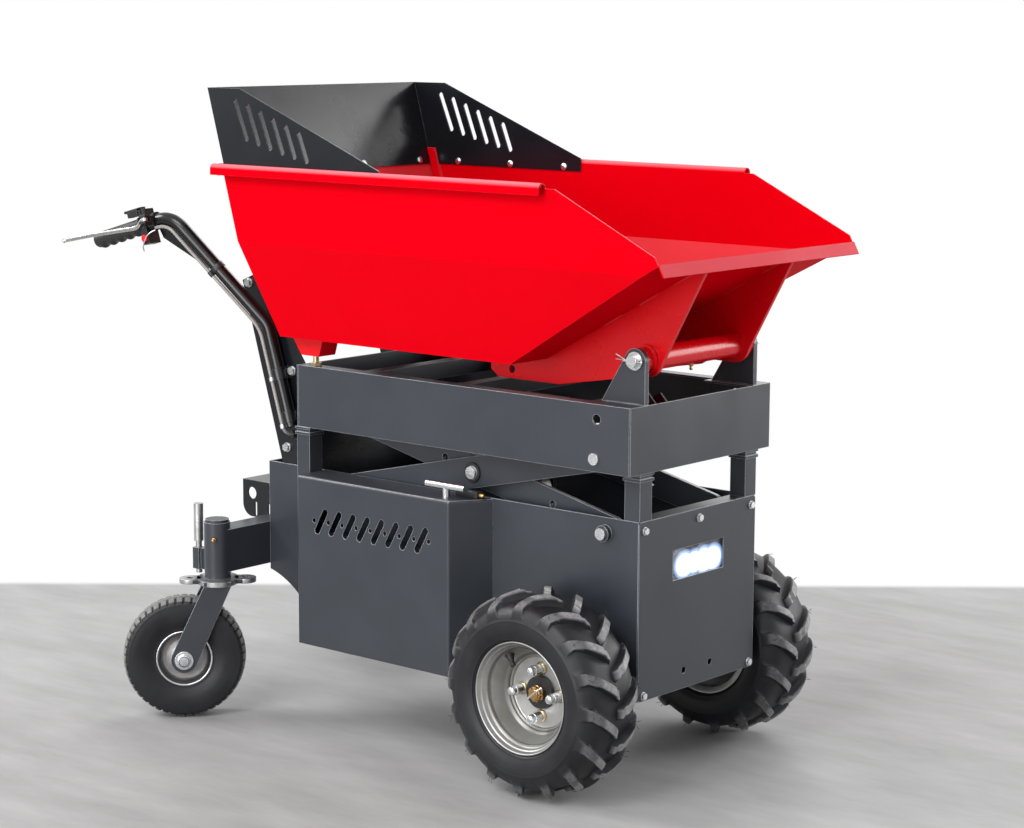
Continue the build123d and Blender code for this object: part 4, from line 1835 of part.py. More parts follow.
nodes = {
    "chassis_frame": chassis_frame(),
    "front_panel": front_panel(),
    "chassis_bolts": chassis_bolts(),
    "headlamp_housing": headlamp_housing(),
    "headlamp_lens": headlamp_lens(),
    "battery_box_right": [BOX],
    "battery_box_left": mirrored([BOX]),
    "battery_packs": battery_packs(),
    "motor_controller": motor_controller(),
    "drive_transaxle": drive_transaxle(),
    "tray_rest_posts": tray_rest_posts(),
    "scissor_base_pins": scissor_base_pins(),
    "caster_beam": caster_beam(),
    "hitch_bracket": hitch_bracket(),
    "handle_plates": handle_plates(),
    "handlebar_right": handlebar(),
    "handlebar_left": mirrored(handlebar()),
    "handle_grips": both(grip()),
    "control_clamp_right": control_clamp_right(),
    "control_clamp_left": control_clamp_left(),
    "control_cables": control_cables(),
    "drive_tyre_right": [drive_tyre()],
    "drive_rim_right": [drive_rim()],
    "drive_hub_right": [drive_hub()],
    "wheel_nuts_right": wheel_nuts(),
    "drive_rim_left": mirrored([drive_rim()]),
    "drive_hub_left": mirrored([drive_hub()]),
    "wheel_nuts_left": mirrored(wheel_nuts()),
    "caster_fork_right": caster_fork(),
    "caster_tyre_right": [caster_tyre()],
    "caster_rim_right": [caster_rim()],
    "caster_lock_pin_right": [lock_pin()],
    "caster_fork_left": mirrored(caster_fork()),
    "caster_tyre_left": mirrored([caster_tyre()]),
    "caster_rim_left": mirrored([caster_rim()]),
    "caster_lock_pin_left": mirrored([lock_pin()]),
    "scissor_base_arms": base_arms(),
    "scissor_tray_arms": tray_arms(),
    "scissor_centre_bolts": centre_bolts(),
    "lower_rollers": lower_rollers(),
    "upper_rollers": upper_rollers(),
    "tray_frame": tray_frame(),
    "tray_fasteners": tray_fasteners(),
    "bucket_pivot_pin": bucket_pivot_pin(),
    "bucket_tub": [TUB - BOLTS],
    "bucket_hinge_frame": bucket_hinge_frame(),
    "spill_guard": spill_guard(),
    "guard_bolts": BOLTS,
    "lift_actuator_barrel": [LIFT_BARREL],
    "lift_actuator_rod": [LIFT_ROD],
    "tilt_actuator_barrel": [TILT_BARREL],
    "tilt_actuator_rod": [TILT_ROD],
    "brake_lever_right": [brake_lever()],
    "brake_lever_left": mirrored([brake_lever()]),
    "throttle_lever": [throttle_lever()],
    "red_button": [red_button()],
    "lift_rocker": [rocker(ROCKER_Z[0])],
    "tilt_rocker": [rocker(ROCKER_Z[1])],
    "box_latch": [box_latch()],
}
nodes["drive_tyre_left"] = mirrored(nodes["drive_tyre_right"])

os.makedirs("parts", exist_ok=True)
shapes = {}
for name, parts in nodes.items():
    shapes[name] = Compound([solid for part in parts for solid in part.solids()])
boxes = [shape.bounding_box() for shape in shapes.values()]
SHIFT_X = -(min(box.min.X for box in boxes) + max(box.max.X for box in boxes)) / 2
for name, shape in shapes.items():
    export_step(Pos(SHIFT_X, 0, 0) * shape, f"parts/{name}.step")
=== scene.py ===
import json
import math

import bmesh
import bpy
import numpy as np
from mathutils import Matrix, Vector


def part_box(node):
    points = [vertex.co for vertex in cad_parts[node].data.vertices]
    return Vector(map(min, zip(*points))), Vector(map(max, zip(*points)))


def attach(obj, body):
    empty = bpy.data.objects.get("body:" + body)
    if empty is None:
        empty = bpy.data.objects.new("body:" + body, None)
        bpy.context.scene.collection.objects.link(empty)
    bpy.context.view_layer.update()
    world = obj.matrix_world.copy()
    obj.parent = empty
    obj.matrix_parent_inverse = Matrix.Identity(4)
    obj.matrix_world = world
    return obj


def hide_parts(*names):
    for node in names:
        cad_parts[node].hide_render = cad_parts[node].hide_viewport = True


# Electric wheelbarrow: finishes for the solid parts, and tyres, rims, nuts, grips, levers, cables, lamp,
# valves, nipples and weld beads as surfaces. Metres; +X forward, +Y left, +Z up, ground at z = 0.

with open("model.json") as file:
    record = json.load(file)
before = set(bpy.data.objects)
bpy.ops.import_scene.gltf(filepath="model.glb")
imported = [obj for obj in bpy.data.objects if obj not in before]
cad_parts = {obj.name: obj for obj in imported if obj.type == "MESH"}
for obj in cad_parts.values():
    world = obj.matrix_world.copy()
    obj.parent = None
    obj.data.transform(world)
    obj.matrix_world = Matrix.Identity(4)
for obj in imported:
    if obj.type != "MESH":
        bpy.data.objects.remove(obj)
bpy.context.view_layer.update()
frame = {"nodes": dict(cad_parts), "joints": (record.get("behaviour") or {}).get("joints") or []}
joints = {joint["name"]: joint for joint in frame["joints"]}
SIDES = {"right": -1.0, "left": 1.0}
RIGHT_SIDE = SIDES["right"]
BOTH_WAYS = (1.0, -1.0)
AHEAD, LEFT, UP = np.eye(3)


def joint_place(name):
    """Where a joint sits at rest."""
    return np.array(joints[name]["pos_m"], float)


def joint_axis(name):
    """Which way a joint's axis points at rest."""
    return np.array(joints[name]["axis"], float)


AXLE_X = joint_place("drive_spin_right")[0]


def spot(x, y, z):
    """Point from metres ahead of the drive axle, left of the middle and above the ground."""
    return np.array([AXLE_X + x, y, z])


# Surface tools: every new piece is one or more grids of points, (points, rows wrap, columns wrap)
EASE_MOST = 0.45
SOFT_EDGE = 0.001
BOX_STRETCH = 1.35
NOTCH_CUT = 0.27
NOTCH_HALF = 0.17
TINY = 1e-6


def around(count):
    """Angles spread evenly over a full turn."""
    return np.linspace(0.0, 2 * np.pi, count, endpoint=False)


def unit(vectors):
    """Vectors scaled to length one: each is divided by its own length."""
    vectors = np.asarray(vectors, float)
    return vectors / np.linalg.norm(vectors, axis=-1, keepdims=True)


def smooth_step(value, start, end):
    """Soft ramp from 0 at start to 1 at end: 3t squared less 2t cubed, with t held between 0 and 1."""
    t = np.clip((value - start) / (end - start), 0.0, 1.0)
    return t * t * (3.0 - 2.0 * t)


def ridge(value, at, height, width):
    """Bell over a value: the height times e to the minus square of the distance counted in widths."""
    return height * np.exp(-(((value - at) / width) ** 2))


def curve_through(points, count):
    """Smooth line through points: on each span a cubic whose end slopes point between the neighbours."""
    points = np.asarray(points, float)
    held = np.concatenate([[2 * points[0] - points[1]], points, [2 * points[-1] - points[-2]]])
    t = np.linspace(0.0, len(points) - 1.0, count)
    span = np.clip(t.astype(int), 0, len(points) - 2)
    u = (t - span)[:, None]
    a, b, c, d = (held[span + step] for step in range(4))
    return 0.5 * (2 * b + (c - a) * u + (2 * a - 5 * b + 4 * c - d) * u**2 + (3 * b - a - 3 * c + d) * u**3)


def eased(corners, radius, steps=3, closed=False):
    """Line with eased corners: each corner becomes a quadratic arc that starts and ends a radius away."""
    corners = np.asarray(corners, float)
    near = []
    for way in (1, -1):
        leg = np.roll(corners, way, axis=0) - corners
        share = np.minimum(radius / np.linalg.norm(leg, axis=1), EASE_MOST)
        near.append((corners + leg * share[:, None])[:, None])
    t = np.linspace(0.0, 1.0, steps)[None, :, None]
    arcs = (1 - t) ** 2 * near[0] + 2 * t * (1 - t) * corners[:, None] + t**2 * near[1]
    if closed:
        return arcs.reshape(-1, corners.shape[1])
    return np.concatenate([corners[:1], arcs[1:-1].reshape(-1, corners.shape[1]), corners[-1:]])


def cross_axes(axis):
    """Two unit vectors square to an axis and to each other."""
    axis = unit(axis)
    first = unit(np.cross(UP if abs(axis[2]) < 0.9 else AHEAD, axis))
    return first, np.cross(axis, first)


def turned(profile, centre, axis, count, closed=False):
    """Turned surface: each profile point (along, radius) is carried round the axis in a full circle."""
    profile, axis = np.asarray(profile, float), unit(axis)
    first, second = cross_axes(axis)
    angle = around(count)[:, None]
    ring = np.cos(angle) * first + np.sin(angle) * second
    points = centre + profile[:, None, :1] * axis + profile[:, None, 1:] * ring
    return points, closed, True


def rod(start, end, radius):
    """Profile of a plain rod."""
    return (start, 0), (start, radius), (end, radius), (end, 0)


def band(shape, centre, axis, count):
    """Flat ring: a rectangle (start, end, inner, outer) with eased corners, turned about an axis."""
    start, end, inner, outer, ease, steps = shape
    corners = ((start, inner), (start, outer), (end, outer), (end, inner))
    return turned(eased(corners, ease, steps, True), centre, axis, count, True)


def hexed(profile, flats, centre, axis, count=48, notches=(0,)):
    """Turned surface with six flats: where flats is 1 the circle is cut back to a hexagon of that radius.

    Where notches is 1 the radius drops by a share in six places, as on a castle nut.
    """
    points, _, _ = turned(profile, (0, 0, 0), axis, count)
    sector = (around(count) + np.pi / 6) % (np.pi / 3) - np.pi / 6
    cut = np.cos(np.pi / 6) / np.cos(sector) - 1.0
    share = 1.0 + np.array(flats)[:, None] * cut
    share = share * (1.0 - NOTCH_CUT * np.array(notches)[:, None] * (np.abs(sector) < NOTCH_HALF))
    along = (points @ unit(axis))[..., None] * unit(axis)
    return centre + along + (points - along) * share[..., None], False, True


def swept(path, section, up, scale=1.0):
    """Section (side, rise) carried along a path, side square to path and up; the ends draw to a point."""
    ahead = unit(np.gradient(path, axis=0))
    side = unit(np.cross(ahead, up))
    rise = np.cross(side, ahead)
    spread = section[None, :, :1] * side[:, None] + section[None, :, 1:] * rise[:, None]
    points = path[:, None] + spread * np.broadcast_to(scale, len(path))[:, None, None]
    tips = np.repeat(path[[0, -1]][:, None], len(section), axis=1)
    return np.concatenate([tips[:1], points, tips[1:]]), False, True


def circle(radius, count):
    """Round section: cosine and sine of evenly spread angles times a radius."""
    return np.stack([np.cos(around(count)), np.sin(around(count))], axis=1) * radius


def rounded_box(low, high, radius, count):
    """Block with soft edges: a sphere's normal pushed out to a cube, plus a radius along it."""
    low, high = np.asarray(low, float), np.asarray(high, float)
    u, v = around(4 * count)[None], np.linspace(-np.pi / 2, np.pi / 2, 2 * count)[:, None]
    normal = np.stack([np.cos(v) * np.cos(u), np.cos(v) * np.sin(u), np.sin(v) + 0 * u], axis=-1)
    reach = np.abs(normal).max(axis=-1, keepdims=True)
    cube = np.clip(normal / reach * BOX_STRETCH, -1.0, 1.0)
    skin = unit(cube * np.abs(cube) ** 3 + TINY * normal) * radius
    return (low + high) / 2 + cube * ((high - low) / 2 - radius) + skin, False, True


def grid_faces(rows, columns, rows_wrap, columns_wrap):
    """Quads of a grid: each cell joins its four corners, round the seam where a side wraps."""
    i = np.arange(rows if rows_wrap else rows - 1)[:, None]
    j = np.arange(columns if columns_wrap else columns - 1)[None, :]
    on_i, on_j = (i + 1) % rows, (j + 1) % columns
    corners = [i * columns + j, on_i * columns + j, on_i * columns + on_j, i * columns + on_j]
    return np.stack(corners, axis=-1).reshape(-1, 4)


def shown(name, data):
    """New object in the scene."""
    made = bpy.data.objects.new(name, data)
    bpy.context.scene.collection.objects.link(made)
    return made


def mounted(name, data, body, finish, stands_for):
    """New object that rides on a body, and in place of a solid part where one is named."""
    data.materials.append(finish)
    made = shown(name, data)
    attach(made, body)
    if stands_for:
        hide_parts(stands_for)


def piece(name, body, finish, grids, stands_for="", crease=38.0, worn=None):
    """One mesh from grids of points: seams and poles merged, faces turned outwards, hard edges kept.

    Worn, when given, is a value for each point that the finish reads: tread wear on the tyres, painted
    shade in the drive rims' grooves.
    """
    points, faces, start = [], [], 0
    for grid, rows_wrap, columns_wrap in grids:
        points.append(grid.reshape(-1, 3))
        faces.append(grid_faces(*grid.shape[:2], rows_wrap, columns_wrap) + start)
        start += len(points[-1])
    points, faces = np.concatenate(points), np.concatenate(faces)
    mesh = bpy.data.meshes.new(name)
    mesh.from_pydata(points, [], faces, shade_flat=False)
    if worn is not None:
        values = np.ravel(worn).astype(np.float32)
        mesh.attributes.new("worn", "FLOAT", "POINT").data.foreach_set("value", values)
    work = bmesh.new()
    work.from_mesh(mesh)
    bmesh.ops.remove_doubles(work, verts=work.verts, dist=TINY)
    bmesh.ops.recalc_face_normals(work, faces=work.faces)
    work.to_mesh(mesh)
    work.free()
    mesh.set_sharp_from_angle(angle=math.radians(crease))
    mounted(name, mesh, body, finish, stands_for)


# Shader tools: a node or socket knows the tree that it stands in; noise scales are patches in a metre
EDGE_PATCHES = 60.0
DUST_CLOUDS = 18.0
TREAD_STREAKS = 120.0
LENS_WAVES = 60.0
FLOOR_CLOUDS = 2.6


def connect(node, feeds):
    """Fill a node's inputs: outputs of other nodes are linked, values are set, and colours are opaque."""
    for key, value in feeds.items():
        socket = node.inputs[key]
        if isinstance(value, bpy.types.NodeSocket):
            node.id_data.links.new(value, socket)
        else:
            socket.default_value = (*value, 1.0) if socket.type == "RGBA" else value


def add(tree, kind, feeds=None, **settings):
    """New shader node: settings are its own options, feeds are its inputs."""
    made = tree.nodes.new(kind)
    for name, value in settings.items():
        setattr(made, name, value)
    connect(made, feeds or {})
    return made


def calculate(operation, first, second):
    """Output of a maths node; one of the two values at least comes from another node."""
    tree = (second if isinstance(first, float) else first).id_data
    return add(tree, "ShaderNodeMath", {0: first, 1: second}, operation=operation).outputs[0]


def times(first, second):
    """Product of two values."""
    return calculate("MULTIPLY", first, second)


def measure(operation, first, second=(0.0, 0.0, 0.0)):
    """Outputs of a vector maths node."""
    return add(first.id_data, "ShaderNodeVectorMath", {0: first, 1: second}, operation=operation).outputs


def ramp(value, low, high, out_low=0.0, out_high=1.0):
    """Value mapped from one range to another and held there."""
    feeds = {"Value": value, "From Min": low, "From Max": high, "To Min": out_low, "To Max": out_high}
    return add(value.id_data, "ShaderNodeMapRange", feeds).outputs[0]


def mixed(factor, first, second):
    """Colour between two colours."""
    feeds = {0: factor, 6: first, 7: second}
    return add(factor.id_data, "ShaderNodeMix", feeds, data_type="RGBA").outputs[2]


def noise(place, scale, detail, roughness):
    """Cloudy noise value at a place."""
    feeds = {"Vector": place, "Scale": scale, "Detail": detail, "Roughness": roughness}
    return add(place.id_data, "ShaderNodeTexNoise", feeds).outputs["Fac"]


def here(tree):
    """Object coordinates: metres in the machine's frame."""
    return add(tree, "ShaderNodeTexCoord").outputs["Object"]


def height_of(vector):
    """Upright part of a vector."""
    return add(vector.id_data, "ShaderNodeSeparateXYZ", {0: vector}).outputs["Z"]


def looks_up(tree):
    """How far a face looks up, in the part's own frame: one for a level top, nought for a wall."""
    return height_of(add(tree, "ShaderNodeTexCoord").outputs["Normal"])


def stretched(place, scale):
    """Coordinates stretched along the axes."""
    return add(place.id_data, "ShaderNodeMapping", {"Vector": place, "Scale": scale}).outputs[0]


def wear_and_shade_value(tree):
    """Value that a piece carries at each point."""
    return add(tree, "ShaderNodeAttribute", attribute_name="worn").outputs["Fac"]


def bump(height, strength, distance, normal=None):
    """Normal tilted by a height, on top of another normal where one is given."""
    feeds = {"Height": height, "Strength": strength, "Distance": distance}
    if normal is not None:
        feeds["Normal"] = normal
    return add(height.id_data, "ShaderNodeBump", feeds).outputs[0]


def effect(name, build, **inputs):
    """Shader group: build takes the tree and the group's inputs and gives its outputs by name."""
    tree = bpy.data.node_groups.new(name, "ShaderNodeTree")
    for label, value in inputs.items():
        socket = tree.interface.new_socket(label, in_out="INPUT", socket_type="NodeSocketFloat")
        socket.default_value = value
    results = build(tree, tree.nodes.new("NodeGroupInput").outputs)
    for label, result in results.items():
        kind = "NodeSocketVector" if result.type == "VECTOR" else "NodeSocketFloat"
        tree.interface.new_socket(label, in_out="OUTPUT", socket_type=kind)
    connect(tree.nodes.new("NodeGroupOutput"), results)
    return tree


def use(tree, group, **values):
    """Outputs of a shader group placed in a material with its own values."""
    feeds = {label.capitalize(): value for label, value in values.items()}
    return add(tree, "ShaderNodeGroup", feeds, node_tree=group).outputs


def edge_rub(tree, given):
    """Rounded edges: a normal averaged over a small radius, and a mask of the edges: rubbed wear on most
    finishes, a painted highlight on the anthracite frame.
    """
    soft = add(tree, "ShaderNodeBevel", {"Radius": given["Radius"]}, samples=6).outputs[0]
    plain = add(tree, "ShaderNodeNewGeometry").outputs["Normal"]
    facing = measure("DOT_PRODUCT", soft, plain)["Value"]
    edge = ramp(calculate("SUBTRACT", 1.0, facing), 0.01, 0.16)
    cloud = calculate("SUBTRACT", noise(here(tree), EDGE_PATCHES, 4.0, 0.6), given["Patch"])
    return {"Rub": times(edge, ramp(cloud, 0.0, 0.2)), "Round": soft}


def powder_skin(tree, given):
    """Powder coat: fine orange-peel height, and slow mottling."""
    place = here(tree)
    fine = noise(place, given["Peel"], 1.0, 0.4)
    coarse = noise(place, times(given["Peel"], 0.3), 1.0, 0.4)
    mottle = noise(place, given["Cloud"], 4.0, 0.6)
    return {"Height": calculate("ADD", fine, coarse), "Mottle": mottle}


def settled_dust(tree, given):
    """Dust mask: cloudy on faces that look up, and thicker towards the ground."""
    place = here(tree)
    up = ramp(looks_up(tree), 0.3, 1.0)
    rise = calculate("DIVIDE", height_of(place), given["Reach"])
    low = ramp(calculate("SUBTRACT", 1.0, rise), 0.0, 1.0)
    cloud = ramp(noise(place, DUST_CLOUDS, 6.0, 0.65), 0.35, 0.75)
    spots = times(calculate("ADD", low, times(up, 0.6)), cloud)
    return {"Dust": times(spots, given["Amount"])}


def machined_lines(tree, given):
    """Drawn or turned metal: noise squeezed along one axis gives fine lines, and larger clouds a tone."""
    place = here(tree)
    lines = noise(stretched(place, (0.06, 1.0, 1.0)), given["Fine"], 2.0, 0.5)
    return {"Lines": lines, "Cloud": noise(place, given["Cloud"], 4.0, 0.6)}


def rubber_skin(tree, given):
    """Moulded rubber: pebbled grain height, and a grey bloom in clouds."""
    place = here(tree)
    cloud = noise(place, given["Cloud"], 6.0, 0.65)
    return {"Height": noise(place, given["Grain"], 2.0, 0.6), "Bloom": ramp(cloud, 0.36, 0.72)}


EDGE_RUB_AND_HIGHLIGHT = effect("edge_rub", edge_rub, Radius=0.0015, Patch=0.42)
POWDER_SKIN = effect("powder_skin", powder_skin, Peel=420.0, Cloud=7.0)
SETTLED_DUST = effect("settled_dust", settled_dust, Amount=0.3, Reach=0.35)
MACHINED_LINES = effect("machined_lines", machined_lines, Fine=900.0, Cloud=30.0)
RUBBER_SKIN = effect("rubber_skin", rubber_skin, Grain=700.0, Cloud=14.0)

# Finishes: colours are red, green and blue shares
DUST_COLOUR = (0.30, 0.27, 0.23)
RUBBED_RED = (0.90, 0.14, 0.10)
TYRE_DARK = (0.008, 0.008, 0.010)
WHITE = (1.0, 1.0, 1.0)
DUST_DULL = 0.5
# Most share of the painted sheen on faces that look up
SHEEN_MOST = 0.75
COAT_ROUGH = 0.16
PLATED_FOLD = 0.0008
MOULDED_FOLD = 0.001
DIODE_GLOW = 1.5
LENS_GLOW = 1.7
# The lamp's glow on its lens: (across, height, size)
GLOW_LOBES = (
    (-0.040, 0.4475, 0.021), (-0.008, 0.4485, 0.019), (0.026, 0.447, 0.021), (0.056, 0.447, 0.021),
)


def material(name, solids=""):
    """New node material on solid parts; a part named without its side is the right and the left one."""
    made = bpy.data.materials.new(name)
    made.use_nodes = True
    for part in solids.split():
        for node in [part] if part in frame["nodes"] else [f"{part}_{label}" for label in SIDES]:
            solid = frame["nodes"][node].data
            solid.materials.clear()
            solid.materials.append(made)
    return made, made.node_tree, made.node_tree.nodes["Principled BSDF"]


def powder_coat(
    name, solids, colour, worn, rough, fold, dust=0.0, wear_and_highlight=0.5, patch=0.42, gloss=0.45, mottle=0.85,
    painted_sheen=None, coat=0.0,
):
    """Powder coated sheet: mottled colour, rubbed folds (on the anthracite frame a painted highlight),
    orange peel, settled dust, and a painted sheen on faces that look up.
    """
    made, tree, shader = material(name, solids)
    skin = use(tree, POWDER_SKIN)
    edge = use(tree, EDGE_RUB_AND_HIGHLIGHT, radius=fold, patch=patch)
    dusty = use(tree, SETTLED_DUST, amount=dust)["Dust"]
    deep = tuple(channel * mottle for channel in colour)
    base = mixed(ramp(skin["Mottle"], 0.3, 0.7), deep, colour)
    # Painted sheen: faces that look up are tinted pale, as the reflection they show
    if painted_sheen is not None:
        up = ramp(looks_up(tree), 0.15, 0.80, 0.0, SHEEN_MOST)
        share = times(up, ramp(skin["Mottle"], 0.3, 0.7, 0.85, 1.0))
        base = mixed(share, base, painted_sheen)
    # Edge colour on the folds: rubbed wear, and at full amount on the frame a painted highlight
    base = mixed(times(edge["Rub"], wear_and_highlight), base, worn)
    shine = ramp(skin["Mottle"], 0.25, 0.75, rough - 0.05, rough + 0.06)
    connect(shader, {
        "Base Color": mixed(dusty, base, DUST_COLOUR),
        "Roughness": calculate("ADD", shine, times(dusty, DUST_DULL)),
        "Specular IOR Level": gloss,
        "Coat Weight": coat,
        "Coat Roughness": COAT_ROUGH,
        "Normal": bump(skin["Height"], strength=0.06, distance=0.0004, normal=edge["Round"]),
    })
    return made


def plated(name, solids, colour, dark, rough, groove_shade=None):
    """Plated or bare metal: fine machining lines, cloudy tone, rounded edges, and painted shade in the
    grooves a piece marks.
    """
    made, tree, shader = material(name, solids)
    lines = use(tree, MACHINED_LINES)
    edge = use(tree, EDGE_RUB_AND_HIGHLIGHT, radius=PLATED_FOLD)
    base = mixed(ramp(lines["Cloud"], 0.35, 0.7), dark, colour)
    # Painted shade: the dark colour is mixed in where the piece's value marks a groove
    if groove_shade is not None:
        base = mixed(wear_and_shade_value(tree), base, groove_shade)
    connect(shader, {
        "Base Color": base,
        "Roughness": ramp(lines["Lines"], 0.3, 0.7, rough - 0.06, rough + 0.08),
        "Metallic": 1.0,
        "Normal": bump(lines["Lines"], strength=0.12, distance=0.0003, normal=edge["Round"]),
    })
    return made


def moulded(name, solids, colour, rough, grain=900.0, coat=0.0):
    """Moulded plastic or cast skin: fine grain, faint clouds and rounded edges."""
    made, tree, shader = material(name, solids)
    skin = use(tree, RUBBER_SKIN, grain=grain, cloud=20.0)
    edge = use(tree, EDGE_RUB_AND_HIGHLIGHT, radius=MOULDED_FOLD)
    pale = tuple(min(channel * 1.6 + 0.01, 1.0) for channel in colour)
    base = mixed(times(skin["Bloom"], 0.35), colour, pale)
    connect(shader, {
        "Base Color": mixed(times(edge["Rub"], 0.4), base, pale),
        "Roughness": ramp(skin["Height"], 0.3, 0.7, rough - 0.05, rough + 0.05),
        "Coat Weight": coat,
        "Normal": bump(skin["Height"], strength=0.15, distance=0.0003, normal=edge["Round"]),
    })
    return made


def tyre_rubber(name, solids, pale, tread):
    """Tyre rubber: grey bloom in clouds, pebbled grain, and a paler skin where the surface is worn."""
    made, tree, shader = material(name, solids)
    skin = use(tree, RUBBER_SKIN, grain=620.0, cloud=11.0)
    streaks = ramp(noise(here(tree), TREAD_STREAKS, 4.0, 0.6), 0.3, 0.7, 0.5, 1.0)
    base = mixed(skin["Bloom"], TYRE_DARK, pale)
    connect(shader, {
        "Base Color": mixed(times(wear_and_shade_value(tree), streaks), base, tread),
        "Roughness": ramp(skin["Bloom"], 0.0, 1.0, 0.40, 0.56),
        "Specular IOR Level": 0.35,
        "Normal": bump(skin["Height"], strength=0.30, distance=0.0004),
    })
    return made


def lit_diode():
    """Lit diode array: white light, brightest over each of the small chips of a square pattern."""
    made, tree, shader = material("lit_diodes")
    dots = add(tree, "ShaderNodeTexVoronoi", {"Vector": here(tree), "Scale": 140.0, "Randomness": 0.0})
    glow = ramp(dots.outputs["Distance"], 0.1, 0.6, 1.0, 0.55)
    connect(shader, {
        "Emission Color": mixed(glow, (0.72, 0.82, 1.0), WHITE),
        "Emission Strength": DIODE_GLOW,
        "Base Color": (0.8, 0.8, 0.8),
    })
    return made


def clear_lens():
    """Clear cover: glass with faint moulding waves, and the lamp's glow: white lobes with a blue edge."""
    _, tree, shader = material("clear_lamp_lens", "headlamp_lens")
    place = here(tree)
    glow = 0.0
    for across, height, size in GLOW_LOBES:
        offset = measure("SUBTRACT", place, (0.0, across, height))[0]
        far = measure("LENGTH", stretched(offset, (0.0, 0.85, 1.0)))["Value"]
        glow = calculate("MAXIMUM", glow, ramp(far, 0.55 * size, 1.55 * size, 1.0, 0.0))
    halo = mixed(ramp(glow, 0.0, 0.6), (0.0, 0.0, 0.0), (0.20, 0.30, 0.60))
    waves = noise(place, LENS_WAVES, 2.0, 0.5)
    connect(shader, {
        "Transmission Weight": 1.0,
        "Base Color": (0.95, 0.98, 1.0),
        "IOR": 1.45,
        "Emission Color": mixed(ramp(glow, 0.4, 0.9), halo, WHITE),
        "Emission Strength": LENS_GLOW,
        "Roughness": ramp(waves, 0.3, 0.7, 0.02, 0.07),
        "Normal": bump(waves, strength=0.05, distance=0.0005),
    })


# The pale pink on the tub's upward faces is a painted sheen
powder_coat(
    "red_tub_coat", "bucket_tub", (0.69, 0.0001, 0.006), RUBBED_RED, 0.36, 0.0014, gloss=0.0, mottle=0.96,
    painted_sheen=(0.94, 0.27, 0.32), coat=0.06,
)
HINGE_COAT = powder_coat(
    "red_hinge_coat", "bucket_hinge_frame", (0.69, 0.0008, 0.006), RUBBED_RED, 0.28, 0.0014, gloss=0.30,
    mottle=0.96, coat=0.05,
)
# On the frame's folds the pale blue-grey, laid on at full amount, is a painted highlight
GREY_COAT = powder_coat(
    "anthracite_frame_coat",
    "chassis_frame front_panel battery_box tray_rest_posts caster_beam caster_fork scissor_base_arms"
    " scissor_tray_arms tray_frame",
    (0.035, 0.040, 0.050), (0.54, 0.58, 0.63), 0.34, 0.0019, dust=0.03, wear_and_highlight=1.0, patch=0.22, gloss=0.50,
)
powder_coat(
    "black_guard_coat", "spill_guard handle_plates hitch_bracket lift_actuator_barrel tilt_actuator_barrel",
    (0.006, 0.007, 0.010), (0.22, 0.22, 0.24), 0.24, 0.0012,
)
HANDLE_COAT = powder_coat(
    "black_handle_coat", "handlebar", (0.004, 0.004, 0.005), (0.06, 0.06, 0.06), 0.22, 0.001,
)
ZINC = plated(
    "bright_zinc",
    "chassis_bolts scissor_base_pins scissor_centre_bolts tray_fasteners bucket_pivot_pin guard_bolts"
    " wheel_nuts",
    (0.84, 0.85, 0.86), (0.62, 0.63, 0.64), 0.28,
)
YELLOW_ZINC = plated("yellow_zinc", "", (0.62, 0.50, 0.28), (0.44, 0.36, 0.22), 0.32)
BRASS = plated("brass", "", (0.72, 0.48, 0.20), (0.42, 0.24, 0.09), 0.24)
CHROME = plated("chrome_latch", "box_latch", (0.86, 0.86, 0.87), (0.70, 0.70, 0.72), 0.12)
STEEL = plated(
    "bare_steel", "caster_lock_pin lower_rollers upper_rollers lift_actuator_rod tilt_actuator_rod",
    (0.60, 0.60, 0.60), (0.38, 0.38, 0.38), 0.38,
)
LEVER_METAL = plated("lever_metal", "brake_lever", (0.70, 0.68, 0.65), (0.52, 0.50, 0.48), 0.24)
# Silver rim paint; its last, dark brown colour is painted shade for the rim's grooves
RIM_SILVER = plated(
    "silver_rim_paint", "drive_rim", (0.47, 0.47, 0.46), (0.39, 0.39, 0.38), 0.42, (0.075, 0.066, 0.055),
)
# Darker copy of the caster rim's metal: painted shade on the dished disc
SHADED_CASTER_SILVER = plated("caster_rim_paint", "caster_rim", (0.36, 0.35, 0.35), (0.28, 0.27, 0.27), 0.42)
plated("cast_alloy", "motor_controller drive_transaxle", (0.42, 0.43, 0.44), (0.28, 0.28, 0.29), 0.5)
HUB_BLACK = moulded("black_hub_iron", "drive_hub", (0.010, 0.010, 0.011), 0.42)
BLACK_PLASTIC = moulded(
    "black_switch_plastic", "control_clamp throttle_lever lift_rocker tilt_rocker",
    (0.012, 0.012, 0.013), 0.36,
)
GRIP_RUBBER = moulded("black_grip_rubber", "handle_grips", (0.014, 0.014, 0.014), 0.52, grain=1300.0)
CABLE_SHEATH = moulded("grey_cable_sheath", "control_cables", (0.26, 0.25, 0.235), 0.34, coat=0.3)
VALVE_RUBBER = moulded("black_valve_rubber", "", (0.010, 0.010, 0.010), 0.5)
moulded("red_button_plastic", "red_button", (0.70, 0.012, 0.012), 0.25, coat=0.3)
moulded("battery_case", "battery_packs", (0.03, 0.035, 0.05), 0.5)
moulded("lamp_shell", "headlamp_housing", (0.03, 0.03, 0.034), 0.35)
DRIVE_RUBBER = tyre_rubber("drive_tyre_rubber", "drive_tyre", (0.019, 0.020, 0.024), (0.33, 0.33, 0.335))
CASTER_RUBBER = tyre_rubber("caster_tyre_rubber", "caster_tyre", (0.016, 0.017, 0.020), (0.24, 0.24, 0.23))
DIODE = lit_diode()
clear_lens()


